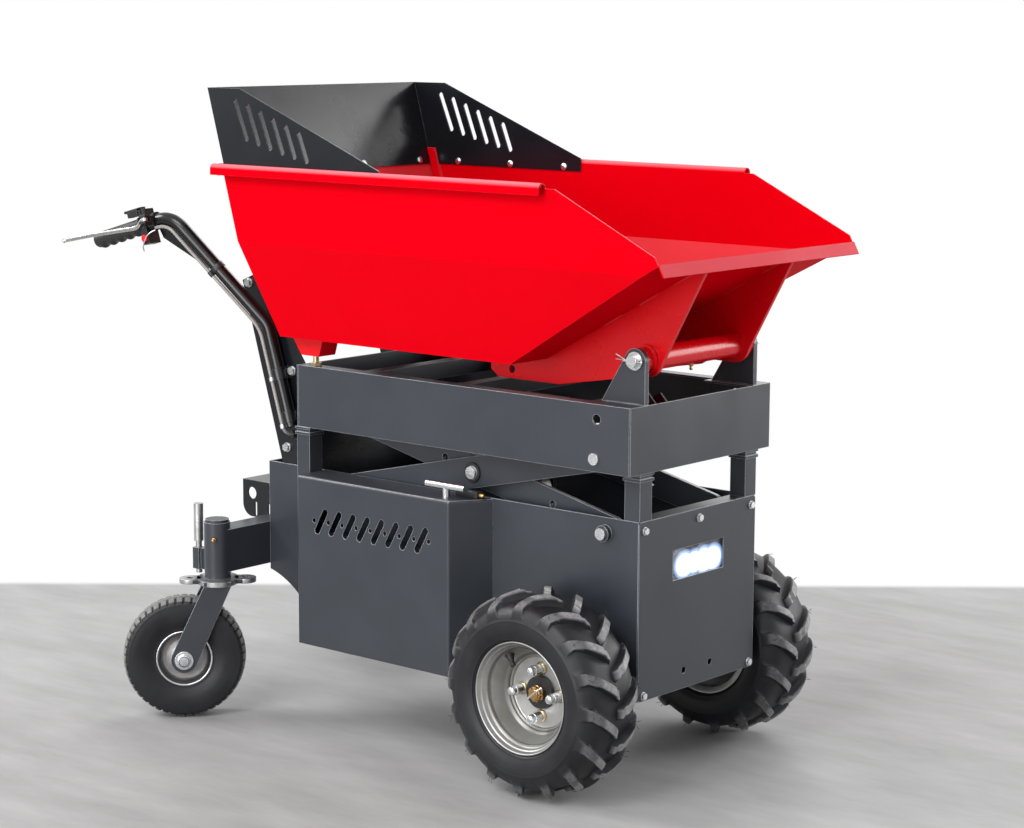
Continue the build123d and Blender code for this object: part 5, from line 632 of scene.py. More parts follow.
# Drive wheels: profiles are (outboard, from the axle), spans are runs along the tyre's section
TYRE_SECTION = (
    (0, 0.1915), (0.03, 0.1908), (0.05, 0.1882), (0.064, 0.1822), (0.0725, 0.1725), (0.0775, 0.163),
    (0.0795, 0.156), (0.0798, 0.147), (0.0782, 0.134), (0.0745, 0.1235), (0.07, 0.1175), (0.0672, 0.115),
    (0.065, 0.1125),
)
LUG_RISE = (
    (0, 0.0185), (0.015, 0.0185), (0.03, 0.018), (0.042, 0.0165), (0.05, 0.014), (0.06, 0.0102),
    (0.07, 0.0062), (0.08, 0.0028), (0.09, 0),
)
LUGS = 16
LUG_PITCH = 2 * np.pi / LUGS
LUG_HALF = 0.0092
LUG_SPLAY = 0.0042
SPLAY_SPAN = (0.04, 0.085)
LUG_FLANK = 0.0046
LUG_LEAD = 0.055
LUG_BEND = 0.068
LUG_ENDS = (0.0015, 0.0045)
TOE_CUT = 0.30
TOE_SPAN = (0.0125, 0.0145)
SKIRT_RISE = 0.001
SKIRT_END = 0.09
SIDE_RING = (0.0962, 0.0013, 0.0014)
RIM_BEAD = (0.133, 0.001, 0.0012)
WORN_START = (0.003, 0.006)
WORN_FADES = ((0.62, 0.042, 0.050), (0.38, 0.066, 0.080))
WORN_EDGE = 0.0005
TREAD_R = 0.210
TREAD_HALF = 0.080
TYRE_CREASE = 34.0
STEPS_ROUND = 720
STEPS_ACROSS = 66
HAIR_FEET = ((0.0585, 0.1935), (0.068, 0.185))
HAIR_R = 0.00045
HAIR_OUT = 0.0035
HAIR_LONG = 0.012
HAIR_BEND = 0.012
HAIR_LEAD = 0.02
HAIR_SWAY = (0.3, 4.0)
HAIR_SEED = 11
RIM_PROFILE = (
    (0.0662, 0.1146), (0.0686, 0.1149), (0.07, 0.1138), (0.0699, 0.112), (0.0684, 0.1107), (0.0612, 0.1082),
    (0.06, 0.107), (0.0594, 0.1058), (0.0522, 0.103), (0.0508, 0.1014), (0.0494, 0.0984), (0.0476, 0.097),
    (0.0424, 0.0962), (0.0404, 0.0952), (0.0152, 0.0856), (0.0128, 0.0842), (0.0104, 0.0814),
    (0.009, 0.0788), (0.006, 0.0774), (0.0052, 0.0762), (0.0058, 0.0748), (0.0044, 0.0734),
    (0.0012, 0.0722), (0.0006, 0.07), (0.0004, 0.05), (0, 0.04), (0, 0.0331), (-0.004, 0.0331),
    (-0.004, 0.076), (-0.006, 0.081), (-0.04, 0.084), (-0.053, 0.0985), (-0.064, 0.0998), (-0.069, 0.11),
    (-0.07, 0.1132), (-0.0682, 0.1146), (-0.066, 0.1136), (-0.062, 0.103), (-0.05, 0.102), (-0.038, 0.089),
    (0.006, 0.089), (0.042, 0.101), (0.052, 0.1066), (0.061, 0.112),
)
RIM_STEPS = 128
RIM_EASE = 0.0012
# Painted shade in the rim's grooves: (outboard, strength, width), held under a most and only past an inner
# radius
RIM_GROOVE_SHADE = ((0.049, 1.0, 0.0022), (0.0088, 0.8, 0.004))
GROOVE_SHADE_MOST = 0.85
GROOVE_SHADE_INNER = 0.0725
VALVE_PROFILE = (
    (-0.004, 0), (-0.004, 0.01), (0.002, 0.01), (0.0055, 0.008), (0.012, 0.0062), (0.014, 0.005),
    (0.0185, 0.0048), (0.019, 0.0056), (0.025, 0.0056), (0.0264, 0.0044), (0.0268, 0),
)
VALVE_ENDS = ((0.031, 0.0925), (0.040, 0.060))
VALVE_ANGLE = math.radians(-38.0)
STUD_CIRCLE = 0.049
STUD_TURNS = np.radians([0.0, 90.0, 180.0, 270.0])
FLANGE_PROFILE = (
    (0.0002, 0), (0.0002, 0.0134), (0.003, 0.0134), (0.0052, 0.0116), (0.006, 0.01), (0.006, 0),
)
NUT_PROFILE = (
    (0.005, 0), (0.005, 0.0105), (0.0255, 0.0105), (0.027, 0.0088), (0.0285, 0.0084), (0.03, 0.0092),
    (0.0345, 0.0096), (0.038, 0.0082), (0.0396, 0.005), (0.04, 0),
)
CASTLE_PROFILE = (
    (0.008, 0), (0.008, 0.0176), (0.0092, 0.0184), (0.0158, 0.0184), (0.017, 0.0172), (0.0172, 0.015),
    (0.0236, 0.015), (0.024, 0.0142), (0.024, 0.0112), (0.0212, 0.011), (0.0212, 0),
)
CASTLE_FLATS = (0, 1, 1, 1, 1, 0, 0, 0, 0, 0, 0)
CASTLE_NOTCH = (0, 0, 0, 0, 0, 0, 1, 1, 1, 0, 0)
AXLE_END = ((0.0205, 0), (0.0205, 0.0113), (0.0262, 0.0113), (0.0272, 0.0102), (0.0272, 0))
COTTER_LINE = (
    (0.0225, 0.0225), (0.0284, 0.017), (0.0292, 0.01), (0.0292, -0.008), (0.0284, -0.015), (0.0225, -0.021),
)
COTTER_ANGLE = math.radians(50.0)
COTTER_R = 0.0018
COTTER_HEAD = rod(-0.0022, 0.0022, 0.003)


def wheel_points(label, across, radius, angle):
    """Points of a drive wheel: the radius times the angle's sine goes forward, times its cosine goes up."""
    centre = joint_place(f"drive_spin_{label}")
    x = centre[0] + radius * np.sin(angle)
    y = centre[1] + SIDES[label] * across + 0 * angle
    z = centre[2] + radius * np.cos(angle)
    return np.stack([x, y, z], axis=-1)


def tyre_half(section, count):
    """Half of a tyre's section: its points, the lengths of the steps added up, and the normals."""
    half = curve_through(section, count)
    steps = np.linalg.norm(np.diff(half, axis=0), axis=1)
    slope = unit(np.gradient(half, axis=0))
    return half, np.concatenate([[0.0], np.cumsum(steps)]), np.stack([-slope[:, 1], slope[:, 0]], axis=1)


def off_pitch(angle, pitch, stagger):
    """Angle from the nearest place of a row that repeats with a pitch."""
    return np.abs((angle - stagger + pitch / 2) % pitch - pitch / 2)


def joined(rows):
    """Two halves of a tyre as one run of rows, with the middle row once."""
    return np.concatenate([rows[0][::-1], rows[1][1:]])


def drive_tyre(label):
    """Chevron tyre: a section curve carried round the axle, pushed out along its own normal by the lugs.

    A lug stands where the distance round the tyre from its centre line is under its half width; the line
    runs straight from the crown, where it leads, to the shoulder, and the two rows are half a pitch apart.
    """
    half, run, normal = tyre_half(TYRE_SECTION, STEPS_ACROSS)
    angle = around(STEPS_ROUND)[None]
    lead = LUG_LEAD * (1.0 - np.clip(run / LUG_BEND, 0.0, 1.0))
    toe = 1.0 - TOE_CUT * (1.0 - smooth_step(run, *TOE_SPAN))
    ends = smooth_step(run, *LUG_ENDS)
    rise = np.interp(run, *np.transpose(LUG_RISE)) * toe * ends
    foot = SKIRT_RISE * ends * (run < SKIRT_END)
    trim = ridge(run, *SIDE_RING) + ridge(run, *RIM_BEAD)
    width = LUG_HALF + LUG_SPLAY * smooth_step(run, *SPLAY_SPAN)
    rubbed = 1.0 - sum(share * smooth_step(run, start, end) for share, start, end in WORN_FADES)
    rubbed = smooth_step(run, *WORN_START) * rubbed
    rows, worn = [], []
    for row, stagger in zip(BOTH_WAYS, (0.0, LUG_PITCH / 2)):
        gap = off_pitch(angle, LUG_PITCH, stagger) * TREAD_R - width[:, None]
        bar = 1.0 - smooth_step(gap, 0.0, LUG_FLANK)
        skirt = 1.0 - smooth_step(gap, 0.0, 3 * LUG_FLANK)
        lift = bar * rise[:, None] + foot[:, None] * skirt * (1.0 - bar) + trim[:, None]
        across = row * np.minimum(half[:, :1] + normal[:, :1] * lift, TREAD_HALF)
        radius = np.minimum(half[:, 1:] + normal[:, 1:] * lift, TREAD_R)
        rows.append(wheel_points(label, across, radius, angle + lead[:, None] / TREAD_R))
        worn.append((gap < WORN_EDGE) * rubbed[:, None])
    piece(
        f"chevron_tyre_{label}", f"drive_wheel_{label}", DRIVE_RUBBER, [(joined(rows), True, True)],
        f"drive_tyre_{label}", TYRE_CREASE, joined(worn),
    )


def tyre_hairs(label):
    """Moulding hairs on the lugs: thin lines out of the shoulder that bend with the square of the reach."""
    spread = np.random.default_rng(HAIR_SEED)
    reach = np.linspace(0.0, 1.0, 5)
    hairs = []
    for row, stagger in zip(BOTH_WAYS, (0.0, LUG_PITCH / 2)):
        for turn in np.arange(LUGS) * LUG_PITCH + stagger:
            for across, radius in HAIR_FEET:
                bend = spread.uniform(-HAIR_BEND, HAIR_BEND, 2) * HAIR_SWAY
                out = across + reach * HAIR_OUT + bend[0] * reach**2
                angle = turn + HAIR_LEAD + bend[1] * reach**2
                line = wheel_points(label, row * out, radius + reach * HAIR_LONG, angle)
                hairs.append(swept(line, circle(HAIR_R, 4), LEFT))
    piece(f"tyre_hairs_{label}", f"drive_wheel_{label}", VALVE_RUBBER, hairs)


def drive_rim(label):
    """Stepped rim: a closed profile (outboard, radius) with eased corners, turned about the axle, with
    bands of painted shade in two grooves.
    """
    profile = eased(RIM_PROFILE, RIM_EASE, closed=True)
    shell = turned(profile, joint_place(f"drive_spin_{label}"), SIDES[label] * LEFT, RIM_STEPS, True)
    across, radius = profile.T
    groove_shade = np.clip(sum(ridge(across, *place) for place in RIM_GROOVE_SHADE), 0.0, 1.0)
    groove_shade = np.repeat((GROOVE_SHADE_MOST * groove_shade * (radius > GROOVE_SHADE_INNER))[:, None], RIM_STEPS, axis=1)
    body, node = f"drive_wheel_{label}", f"drive_rim_{label}"
    piece(f"stepped_rim_{label}", body, RIM_SILVER, [shell], node, worn=groove_shade)


def valve_stem(label):
    """Rubber valve: a tapering profile turned about a line from the rim's cone towards the axle."""
    foot, tip = wheel_points(label, *np.transpose(VALVE_ENDS), VALVE_ANGLE)
    stem = turned(eased(VALVE_PROFILE, SOFT_EDGE), foot, tip - foot, 24)
    piece(f"valve_stem_{label}", f"drive_wheel_{label}", VALVE_RUBBER, [stem])


def wheel_nuts(label):
    """Wheel nuts on golden flanges and a castle nut, all turned, and a cotter swept along a bent line."""
    centre, axis, body = joint_place(f"drive_spin_{label}"), SIDES[label] * LEFT, f"drive_wheel_{label}"
    seats = wheel_points(label, 0.0, STUD_CIRCLE, STUD_TURNS)
    nuts = [turned(eased(NUT_PROFILE, 0.0008), seat, axis, 32) for seat in seats]
    piece(f"long_wheel_nuts_{label}", body, ZINC, nuts, f"wheel_nuts_{label}")
    gold = [turned(FLANGE_PROFILE, seat, axis, 32) for seat in seats]
    piece(f"golden_flanges_{label}", body, YELLOW_ZINC, gold)
    castle = hexed(CASTLE_PROFILE, CASTLE_FLATS, centre, axis, 144, CASTLE_NOTCH)
    piece(f"castle_nut_{label}", body, BRASS, [castle, turned(AXLE_END, centre, axis, 32)])
    bent = wheel_points(label, *np.transpose(COTTER_LINE), COTTER_ANGLE)
    pin = swept(curve_through(bent, 40), circle(COTTER_R, 10), LEFT)
    head = turned(COTTER_HEAD, bent[0], bent[0] - bent[2], 16)
    piece(f"cotter_pin_{label}", body, ZINC, [pin, head])


# Casters: bands are (start, end, inner radius, outer radius, ease, steps of the ease)
CASTER_SECTION = (
    (0, 0.1346), (0.015, 0.1341), (0.027, 0.1322), (0.034, 0.129), (0.0374, 0.124), (0.0395, 0.113),
    (0.04, 0.101), (0.0388, 0.088), (0.0355, 0.0765), (0.0326, 0.069), (0.0318, 0.065), (0.031, 0.0625),
)
CASTER_R = CASTER_SECTION[0][1]
CASTER_BLOCKS = 46
CASTER_PITCH = 2 * np.pi / CASTER_BLOCKS
SLOT_HALF = (0.0016, 0.0034)
SLOT_START = (0.010, 0.013)
SLOT_END = (0.036, 0.0415)
GROOVE_RUN = 0.0105
GROOVE_HALF = (0.001, 0.0024)
CUT_DEEP = 0.004
SHOULDER_EDGE = (0.0425, 0.0008, 0.0012)
CASTER_WORN_END = (0.033, 0.0365)
CASTER_RIM_PROFILE = (
    (0.031, 0.062), (0.0326, 0.0624), (0.034, 0.0614), (0.034, 0.0592), (0.0328, 0.0576), (0.029, 0.0566),
    (0.0215, 0.055), (0.017, 0.053), (0.014, 0.049), (0.0132, 0.04), (0.015, 0.029), (0.019, 0.0215),
    (0.025, 0.018), (0.044, 0.0166), (0.0455, 0.0155), (0.0455, 0.0084),
)
CASTER_BED = ((-0.03, 0.058), (0.03, 0.058))
CASTER_LIP = (
    (0.0312, 0.0622), (0.0336, 0.0626), (0.035, 0.0616), (0.035, 0.059), (0.0332, 0.0576), (0.0312, 0.058),
)
CAP_PROFILE = (
    (0, 0), (0, 0.0205), (0.0028, 0.0207), (0.0036, 0.0198), (0.0036, 0.015), (0.0044, 0.0145),
    (0.0106, 0.0143), (0.0116, 0.0134), (0.012, 0.012), (0.012, 0),
)
# Dark ring of painted shade on each axle cap's head
CAP_SHADE_RING = (0.0114, 0.0123, 0.0102, 0.0118, 0.0002, 3)
FORK_OUT = 0.052
CROWN_LOW = 0.2993
CROWN_TOP = 0.3101
CROWN_HALF = (0.046, 0.060)
LOBE = (CROWN_LOW, CROWN_TOP, 0.0078, 0.0246, 0.0012, 4)
LOCK_REACH = 0.060


def caster_axle(label):
    """Middle and direction of a caster's axle."""
    return joint_place(f"caster_spin_{label}"), unit(joint_axis(f"caster_spin_{label}"))


def caster_tyre(label):
    """Caster tyre: a section curve carried round the axle, cut in along its normal by slots and grooves."""
    centre, axis = caster_axle(label)
    first, second = cross_axes(axis)
    half, run, normal = tyre_half(CASTER_SECTION, 48)
    angle = around(CASTER_BLOCKS * 12)[None]
    ring = np.cos(angle)[..., None] * first + np.sin(angle)[..., None] * second
    reach = (smooth_step(run, *SLOT_START) * (1.0 - smooth_step(run, *SLOT_END)))[:, None]
    groove = (1.0 - smooth_step(np.abs(run - GROOVE_RUN), *GROOVE_HALF))[:, None]
    rows, worn = [], []
    for row, stagger in zip(BOTH_WAYS, (0.0, CASTER_PITCH / 2)):
        off = off_pitch(angle, CASTER_PITCH, stagger) * CASTER_R
        cut = np.maximum((1.0 - smooth_step(off, *SLOT_HALF)) * reach, groove)
        lift = ridge(run, *SHOULDER_EDGE)[:, None] - CUT_DEEP * cut
        across = row * (half[:, :1] + normal[:, :1] * lift)
        radius = half[:, 1:] + normal[:, 1:] * lift
        rows.append(centre + across[..., None] * axis + radius[..., None] * ring)
        worn.append((1.0 - cut) * (1.0 - smooth_step(run, *CASTER_WORN_END))[:, None])
    piece(
        f"block_tyre_{label}", f"caster_wheel_{label}", CASTER_RUBBER, [(joined(rows), True, True)],
        f"caster_tyre_{label}", TYRE_CREASE, joined(worn),
    )


def caster_rim(label):
    """Caster rim: a lip, a dished disc and a hub as one profile, mirrored and turned about the axle."""
    centre, axis = caster_axle(label)
    half, body = np.array(CASTER_RIM_PROFILE), f"caster_wheel_{label}"
    profile = np.concatenate([half, half[::-1] * (-1.0, 1.0), CASTER_BED])
    shell = turned(eased(profile, SOFT_EDGE, closed=True), centre, axis, 96, True)
    # Rings of bright zinc over the lips: a painted highlight
    lip = eased(CASTER_LIP, SOFT_EDGE, 4, True)
    lips = [turned(lip, centre, way * axis, 96, True) for way in BOTH_WAYS]
    piece(f"bright_lips_{label}", body, ZINC, lips)
    piece(f"dished_rim_{label}", body, SHADED_CASTER_SILVER, [shell], f"caster_rim_{label}")


def caster_trim(label):
    """Bright washers and round heads on the fork with a dark ring of painted shade on each head, plated
    lobes at the lock holes, and an oval crown plate.

    The plate's edge is an ellipse: the cosine of the angle along the fork and its sine across it.
    """
    centre, axis = caster_axle(label)
    body = f"swivel_{label}"
    ends = [(centre + way * FORK_OUT * axis, way * axis) for way in BOTH_WAYS]
    piece(f"axle_caps_{label}", body, ZINC, [turned(CAP_PROFILE, *end, 40) for end in ends])
    piece(f"axle_shade_rings_{label}", body, HUB_BLACK, [band(CAP_SHADE_RING, *end, 40) for end in ends])
    middle = joint_place(f"caster_swivel_{label}") * (1.0, 1.0, 0.0)
    reach = unit((centre - middle) * (1.0, 1.0, 0.0))
    lobes = [band(LOBE, middle + way * LOCK_REACH * reach, UP, 48) for way in BOTH_WAYS]
    piece(f"crown_lobes_{label}", body, STEEL, lobes)
    rim = eased(rod(CROWN_LOW, CROWN_TOP, 1.0), SOFT_EDGE, 4)
    oval = (circle(1.0, 72) * CROWN_HALF) @ np.stack([reach, np.cross(UP, reach)])
    plate = middle + rim[:, None, :1] * UP + rim[:, None, 1:] * oval
    piece(f"crown_plate_{label}", body, STEEL, [(plate, False, True)])


# Handles: grip points are (along the grip from the tube's end, outboard, up)
BAR_CORNERS = (
    (-0.7995, 0.208, 0.645), (-0.872, 0.208, 0.866), (-1.078, 0.300, 1.099), (-1.279, 0.320, 1.039),
)
GRIP_START = -0.122
GRIP_END = 0.026
GRIP_R = 0.0172
GRIP_INSET = 0.0065
GRIP_COLLAR = ((0, 0.0152), (0, 0.02), (0.005, 0.0206))
GRIP_CAP = ((-0.0045, 0.017), (-0.0015, 0.0152), (0, 0.0105), (0, 0))
FINGERS = 5
FINGER_DEEP = 0.0042
KNURLS = 24
KNURL_DEEP = 0.0004
KNURL_DOWN = 0.3
LEVER_LINE = (
    (-0.1585, 0.0325, 0.0057), (-0.15, 0.0328, 0.0056), (-0.143, 0.033, 0.0022), (-0.135, 0.0332, -0.0034),
    (-0.12, 0.0334, -0.0048), (-0.095, 0.0336, -0.002), (0, 0.0346, 0.0095), (0.096, 0.0346, 0.019),
)
LEVER_HALF = (0.0021, 0.0046)
LEVER_SQUARE = 0.6
LEVER_BALL = ((-0.006, 0), (-0.0045, 0.0038), (0, 0.0056), (0.0045, 0.0038), (0.006, 0))
LEVER_HUB = rod(-0.0039, 0.0039, 0.0079)
PADDLE_AT = -0.1375
PADDLE_RING = (-0.0031, 0.0031, 0.0153, 0.0219, 0.0006, 3)
PADDLE_BLOCKS = (
    ((-0.1406, 0.002, 0.018), (-0.1344, 0.014, 0.039)), ((-0.1406, 0, 0.0366), (-0.1, 0.016, 0.0392)),
    ((-0.1262, -0.001, 0.0212), (-0.094, 0.016, 0.039)), ((-0.104, 0, 0.0325), (-0.086, 0.016, 0.0391)),
)
PADDLE_TILT = 0.03
PADDLE_EDGE = 0.0014
GUSSET_BAR_BACK = 0.048
GUSSET_BAR_DOWN = 0.146
GUSSET_BEND = 0.045
GUSSET_BACK = 0.046
GUSSET_DOWN = 0.150
GUSSET_DROP = 0.040
GUSSET_IN = 0.016
GUSSET_HALF = 0.0025
CABLE_R = 0.004
CABLE_OFF = 0.0142
CABLE_HOLD = 0.048
CABLE_TAIL = 0.015
CLIP_SHARES = (0.46, 0.90)
PERCH_BACK = -0.168
STEM_OUT = 0.1925
GLAND_PROFILE = ((0, 0.0042), (0, 0.0082), (0.005, 0.0082), (0.0085, 0.006), (0.0085, 0.0042))
TIE = (0, 0.013, 0.0151, 0.0166, 0.0006, 3)
LOOP = (0, 0.013, 0.0041, 0.0056, 0.0005, 3)
CLIP = (0, 0.009, 0.0036, 0.0056, 0.0006, 3)
WIRE_LINE = (
    (-0.170, 0.0185, -0.021), (-0.160, 0.022, -0.023), (-0.147, 0.025, -0.029), (-0.136, 0.025, -0.039),
    (-0.127, 0.0235, -0.050), (-0.122, 0.018, -0.058),
)
WIRE_R = 0.0016


def bar_corners(side):
    """Corner points of one handle tube's centre line."""
    return np.array(BAR_CORNERS) * (1.0, side, 1.0) + (AXLE_X, 0.0, 0.0)


def grip_place(side, along, out, up):
    """Points from the tube's end: along the grip, outboard of it and above it."""
    corners = bar_corners(side)
    ahead = unit(corners[3] - corners[2])
    rise = unit(UP - ahead * ahead[2])
    outboard = -side * np.cross(rise, ahead)
    along, out, up = (np.asarray(value, float)[..., None] for value in (along, out, up))
    return corners[3] + along * ahead + out * outboard + up * rise


def grip(side):
    """Grip: rings along the tube, swollen below by five finger waves, with a collar and a rounded end.

    A wave is the square of a sine along the grip, times the square of how far the point looks down.
    """
    middle = np.linspace(GRIP_START + GRIP_INSET, GRIP_END - GRIP_INSET, 120)
    collar, cap = np.array(GRIP_COLLAR) + (GRIP_START, 0.0), np.array(GRIP_CAP) + (GRIP_END, 0.0)
    profile = np.concatenate([collar, np.stack([middle, 0 * middle + GRIP_R], axis=1), cap])
    along, radius = profile[:, :1], profile[:, 1:]
    turn = around(48)[None]
    part = np.clip((along - middle[0]) / (middle[-1] - middle[0]), 0.0, 1.0)
    wave = FINGER_DEEP * np.sin(FINGERS * np.pi * part) ** 2 * np.clip(-np.sin(turn), 0.0, 1.0) ** 2
    top = np.clip(np.sin(turn) + KNURL_DOWN, 0.0, 1.0)
    reach = radius + wave + KNURL_DEEP * np.sin(KNURLS * turn) * np.sin(np.pi * part) * top
    return grip_place(side, along + 0 * turn, reach * np.cos(turn), reach * np.sin(turn)), False, True


def slim_lever(label):
    """Brake lever: a flat oval section swept along a dog-leg line beside the grip, with a hub on its pivot.

    The oval is a circle's cosine and sine, each raised to a power under one with its sign kept.
    """
    pivot = f"brake_squeeze_{label}"
    path = grip_place(SIDES[label], *np.transpose(LEVER_LINE))
    ring = circle(1.0, 24)
    blade = swept(curve_through(path, 90), np.sign(ring) * np.abs(ring) ** LEVER_SQUARE * LEVER_HALF, UP)
    ball = turned(LEVER_BALL, path[-1], path[-1] - path[-2], 24)
    hub = turned(LEVER_HUB, joint_place(pivot), joint_axis(pivot), 32)
    node = f"brake_lever_{label}"
    piece(f"slim_lever_{label}", f"brake_{label}", LEVER_METAL, [blade, ball, hub], node)


def thumb_paddle():
    """Throttle paddle: a ring round the tube, a stem and a pad over the grip whose front turns down."""
    foot, ahead = grip_place(RIGHT_SIDE, (PADDLE_AT, PADDLE_AT + 1.0), (0.0, 0.0), (0.0, 0.0))
    grids = [band(PADDLE_RING, foot, ahead - foot, 48)]
    for low, high in PADDLE_BLOCKS:
        along, out, up = np.moveaxis(rounded_box(low, high, PADDLE_EDGE, 16)[0], -1, 0)
        up = up + PADDLE_TILT * np.maximum(along - PADDLE_AT, 0.0)
        grids.append((grip_place(RIGHT_SIDE, along, out, up), False, True))
    piece("thumb_paddle", "throttle", BLACK_PLASTIC, grids, "throttle_lever")


def bend_gusset(side):
    """Gusset in the handle's bend: a thin section carried from the bar's centre line to a straight edge."""
    corners = bar_corners(side)
    bend = corners[2]
    back, down = unit(corners[3] - bend), unit(corners[1] - bend)
    bar = eased([bend + GUSSET_BAR_BACK * back, bend, bend + GUSSET_BAR_DOWN * down], GUSSET_BEND, 9)
    first = bend + GUSSET_BACK * back + GUSSET_DROP * unit(down - (down @ back) * back)
    last = bend + GUSSET_DOWN * down + GUSSET_IN * unit(back - (back @ down) * down)
    edge = first + np.linspace(0.0, 1.0, len(bar))[:, None] * (last - first)
    off = GUSSET_HALF * unit(np.cross(back, down))
    loop = np.stack([bar + off, edge + off, edge - off, bar - off], axis=1)
    ends = np.repeat(loop[[0, -1]].mean(axis=1)[:, None], 4, axis=1)
    return np.concatenate([ends[:1], loop, ends[1:]]), False, True


def cable_route(side):
    """Points that lead a cable: below and beside each run of its tube, from a gland in the handle plate.

    The cable lies straight on the two long runs, so each has a point six cable widths from its corners.
    """
    points = bar_corners(RIGHT_SIDE)
    along = unit(np.diff(points, axis=0))
    below = unit(np.cross(along, -LEFT))
    below = below * -np.sign(below[:, 2:])
    aside = unit(np.cross(along, below))
    aside = aside * -np.sign(aside[:, 1:2])
    corners = []
    for i in range(2):
        miter = unit(below[i] + below[i + 1])
        drop = miter * CABLE_OFF / (miter @ below[i])
        corners.append(points[i + 1] + drop + unit(aside[i] + aside[i + 1]) * CABLE_OFF)
    turn = points[0] + (below[0] + aside[0]) * CABLE_OFF - along[0] * CABLE_TAIL
    gland = np.array([turn[0], -STEM_OUT, turn[2]])
    last = corners[1] + along[2] * ((points[3] - corners[1]) @ along[2] + PERCH_BACK)
    low, high = CABLE_HOLD * along[0], CABLE_HOLD * along[1]
    held = [corners[0] - low, corners[0], corners[0] + high, corners[1] - high, corners[1]]
    return np.array([gland, turn, turn + low, *held, last]) * (1.0, -side, 1.0)


def control_cable(label, stands_for):
    """Cable: a smooth curve led by the route's own points, round with the sheath's radius."""
    route = cable_route(SIDES[label])
    data = bpy.data.curves.new(f"control_cable_{label}", "CURVE")
    data.dimensions = "3D"
    data.bevel_depth = CABLE_R
    data.bevel_resolution = 4
    data.resolution_u = 6
    data.use_fill_caps = True
    line = data.splines.new("NURBS")
    line.points.add(len(route) - 1)
    line.points.foreach_set("co", np.concatenate([route, np.ones((len(route), 1))], axis=1).ravel())
    line.order_u = 3
    line.use_endpoint_u = True
    mounted(f"control_cable_{label}", data, "chassis", CABLE_SHEATH, stands_for)


def cable_fittings():
    """Glands in the handle plates, ties, bright clips on the cables, and a wire below the right clamp."""
    rings, clips = [], []
    gland = eased(GLAND_PROFILE, 0.0006, closed=True)
    for side in SIDES.values():
        route, corners = cable_route(side), bar_corners(side)
        along, lower = corners[2] - corners[1], route[1] - route[4]
        rings.append(turned(gland, route[0], route[1] - route[0], 28, True))
        rings.append(band(TIE, (corners[1] + corners[2]) / 2, along, 40))
        rings.append(band(LOOP, (route[5] + route[6]) / 2, along, 24))
        clips += [band(CLIP, route[4] + share * lower, lower, 24) for share in CLIP_SHARES]
    piece("cable_glands_and_ties", "chassis", BLACK_PLASTIC, rings)
    piece("cable_clips", "chassis", ZINC, clips)
    bends = grip_place(RIGHT_SIDE, *np.transpose(WIRE_LINE))
    wire = swept(curve_through(bends, 40), circle(WIRE_R, 10), LEFT)
    piece("throttle_wire", "chassis", CHROME, [wire])


# Lamp, latch keeper, nipples, bolts and welds
DIODE_PROFILE = ((0, 0), (0, 1), (0.003, 0.97), (0.0062, 0.67), (0.0075, 0))
DIODE_PLACES = ((-0.029, 0.0165), (0.0045, 0.0165), (0.038, 0.0165), (0.0665, 0.011))
DIODE_BACK = 0.0098
DIODE_DROP = 0.006
KEEPER_LOW = spot(-0.300, -0.228, 0.5572)
KEEPER_HIGH = spot(-0.240, -0.208, 0.5722)
KEEPER_EDGE = 0.003
TIP_PROFILE = ((-0.002, 0), (-0.002, 0.0052), (0.008, 0.0052), (0.011, 0.0034), (0.0112, 0))
TIP_AT = spot(-0.240, -0.218, 0.5648)
NIPPLE_PROFILE = (
    (0, 0), (0, 0.0052), (0.005, 0.0052), (0.0054, 0.0032), (0.008, 0.003), (0.0096, 0.004),
    (0.012, 0.0036), (0.0136, 0.0018), (0.0136, 0),
)
NIPPLE_FLATS = (0, 1, 1, 0, 0, 0, 0, 0, 0)
NIPPLE_TURN = 0.6
NIPPLE_Z = 0.400
NIPPLE_Y = -0.005
SLEEVE_R = 0.0285
PIVOT_TUBE_R = 0.0235
COLLAR = (-0.012, -0.0052, 0.014, 0.0212, 0.001, 4)
HINGE_X = 0.136
HINGE_Z = 0.876
# Prong of a split pin: (ahead, up, share of its lift)
PRONG_LINE = ((0.004, 0, 0), (-0.012, 0.001, 0), (-0.024, 0.001, 0.35), (-0.040, 0, 1))
PRONG_LIFTS = (0.012, 0.002)
PRONG_OUT = 0.1985
PRONG_R = 0.0013
TRAY_TOP = 0.790
FOOT_Z = 0.815
REST_X = -0.713
REST_Y = 0.218
REST_NUT = rod(TRAY_TOP, TRAY_TOP + 0.0072, 0.0128)
SHANK_LOW = TRAY_TOP + 0.007
SHANK_TOP = FOOT_Z - 0.0002
SHANK = (
    (SHANK_LOW, 0), (SHANK_LOW, 0.0064), (SHANK_TOP - 0.001, 0.0064), (SHANK_TOP, 0.0054), (SHANK_TOP, 0),
)
BEAD_STEP = 0.0012
BEAD_RIPPLE = 0.0048
BEAD_WAVE = 0.16
BEAD_TAPER = 6.0
BEAD_END = 0.35
EAR_BEAD_R = 0.003
EAR_BACK = 0.058
EAR_FRONT = 0.158
EAR_FACES = (0.177, 0.189)
RIB_FACES = (0.142, 0.150)
STITCH_STARTS = (0.030, 0.115, 0.200)
STITCH_LONG = 0.045
STITCH_R = 0.0026
STITCH_SINK = 0.0005
SLOPE_START = (-0.120, 0.853)
SLOPE_RATE = 0.228 / 0.417


def lit_diodes():
    """Lit diodes in a row behind the lens: shallow domes turned about lines that look forward."""
    low, high = np.array(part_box("headlamp_lens"))
    middle = (low + high) / 2
    domes = []
    for across, size in DIODE_PLACES:
        place = (low[0] - DIODE_BACK, middle[1] + across, middle[2] - DIODE_DROP)
        domes.append(turned(np.array(DIODE_PROFILE) * (1.0, size), place, AHEAD, 40))
    piece("lit_diodes", "chassis", DIODE, domes)


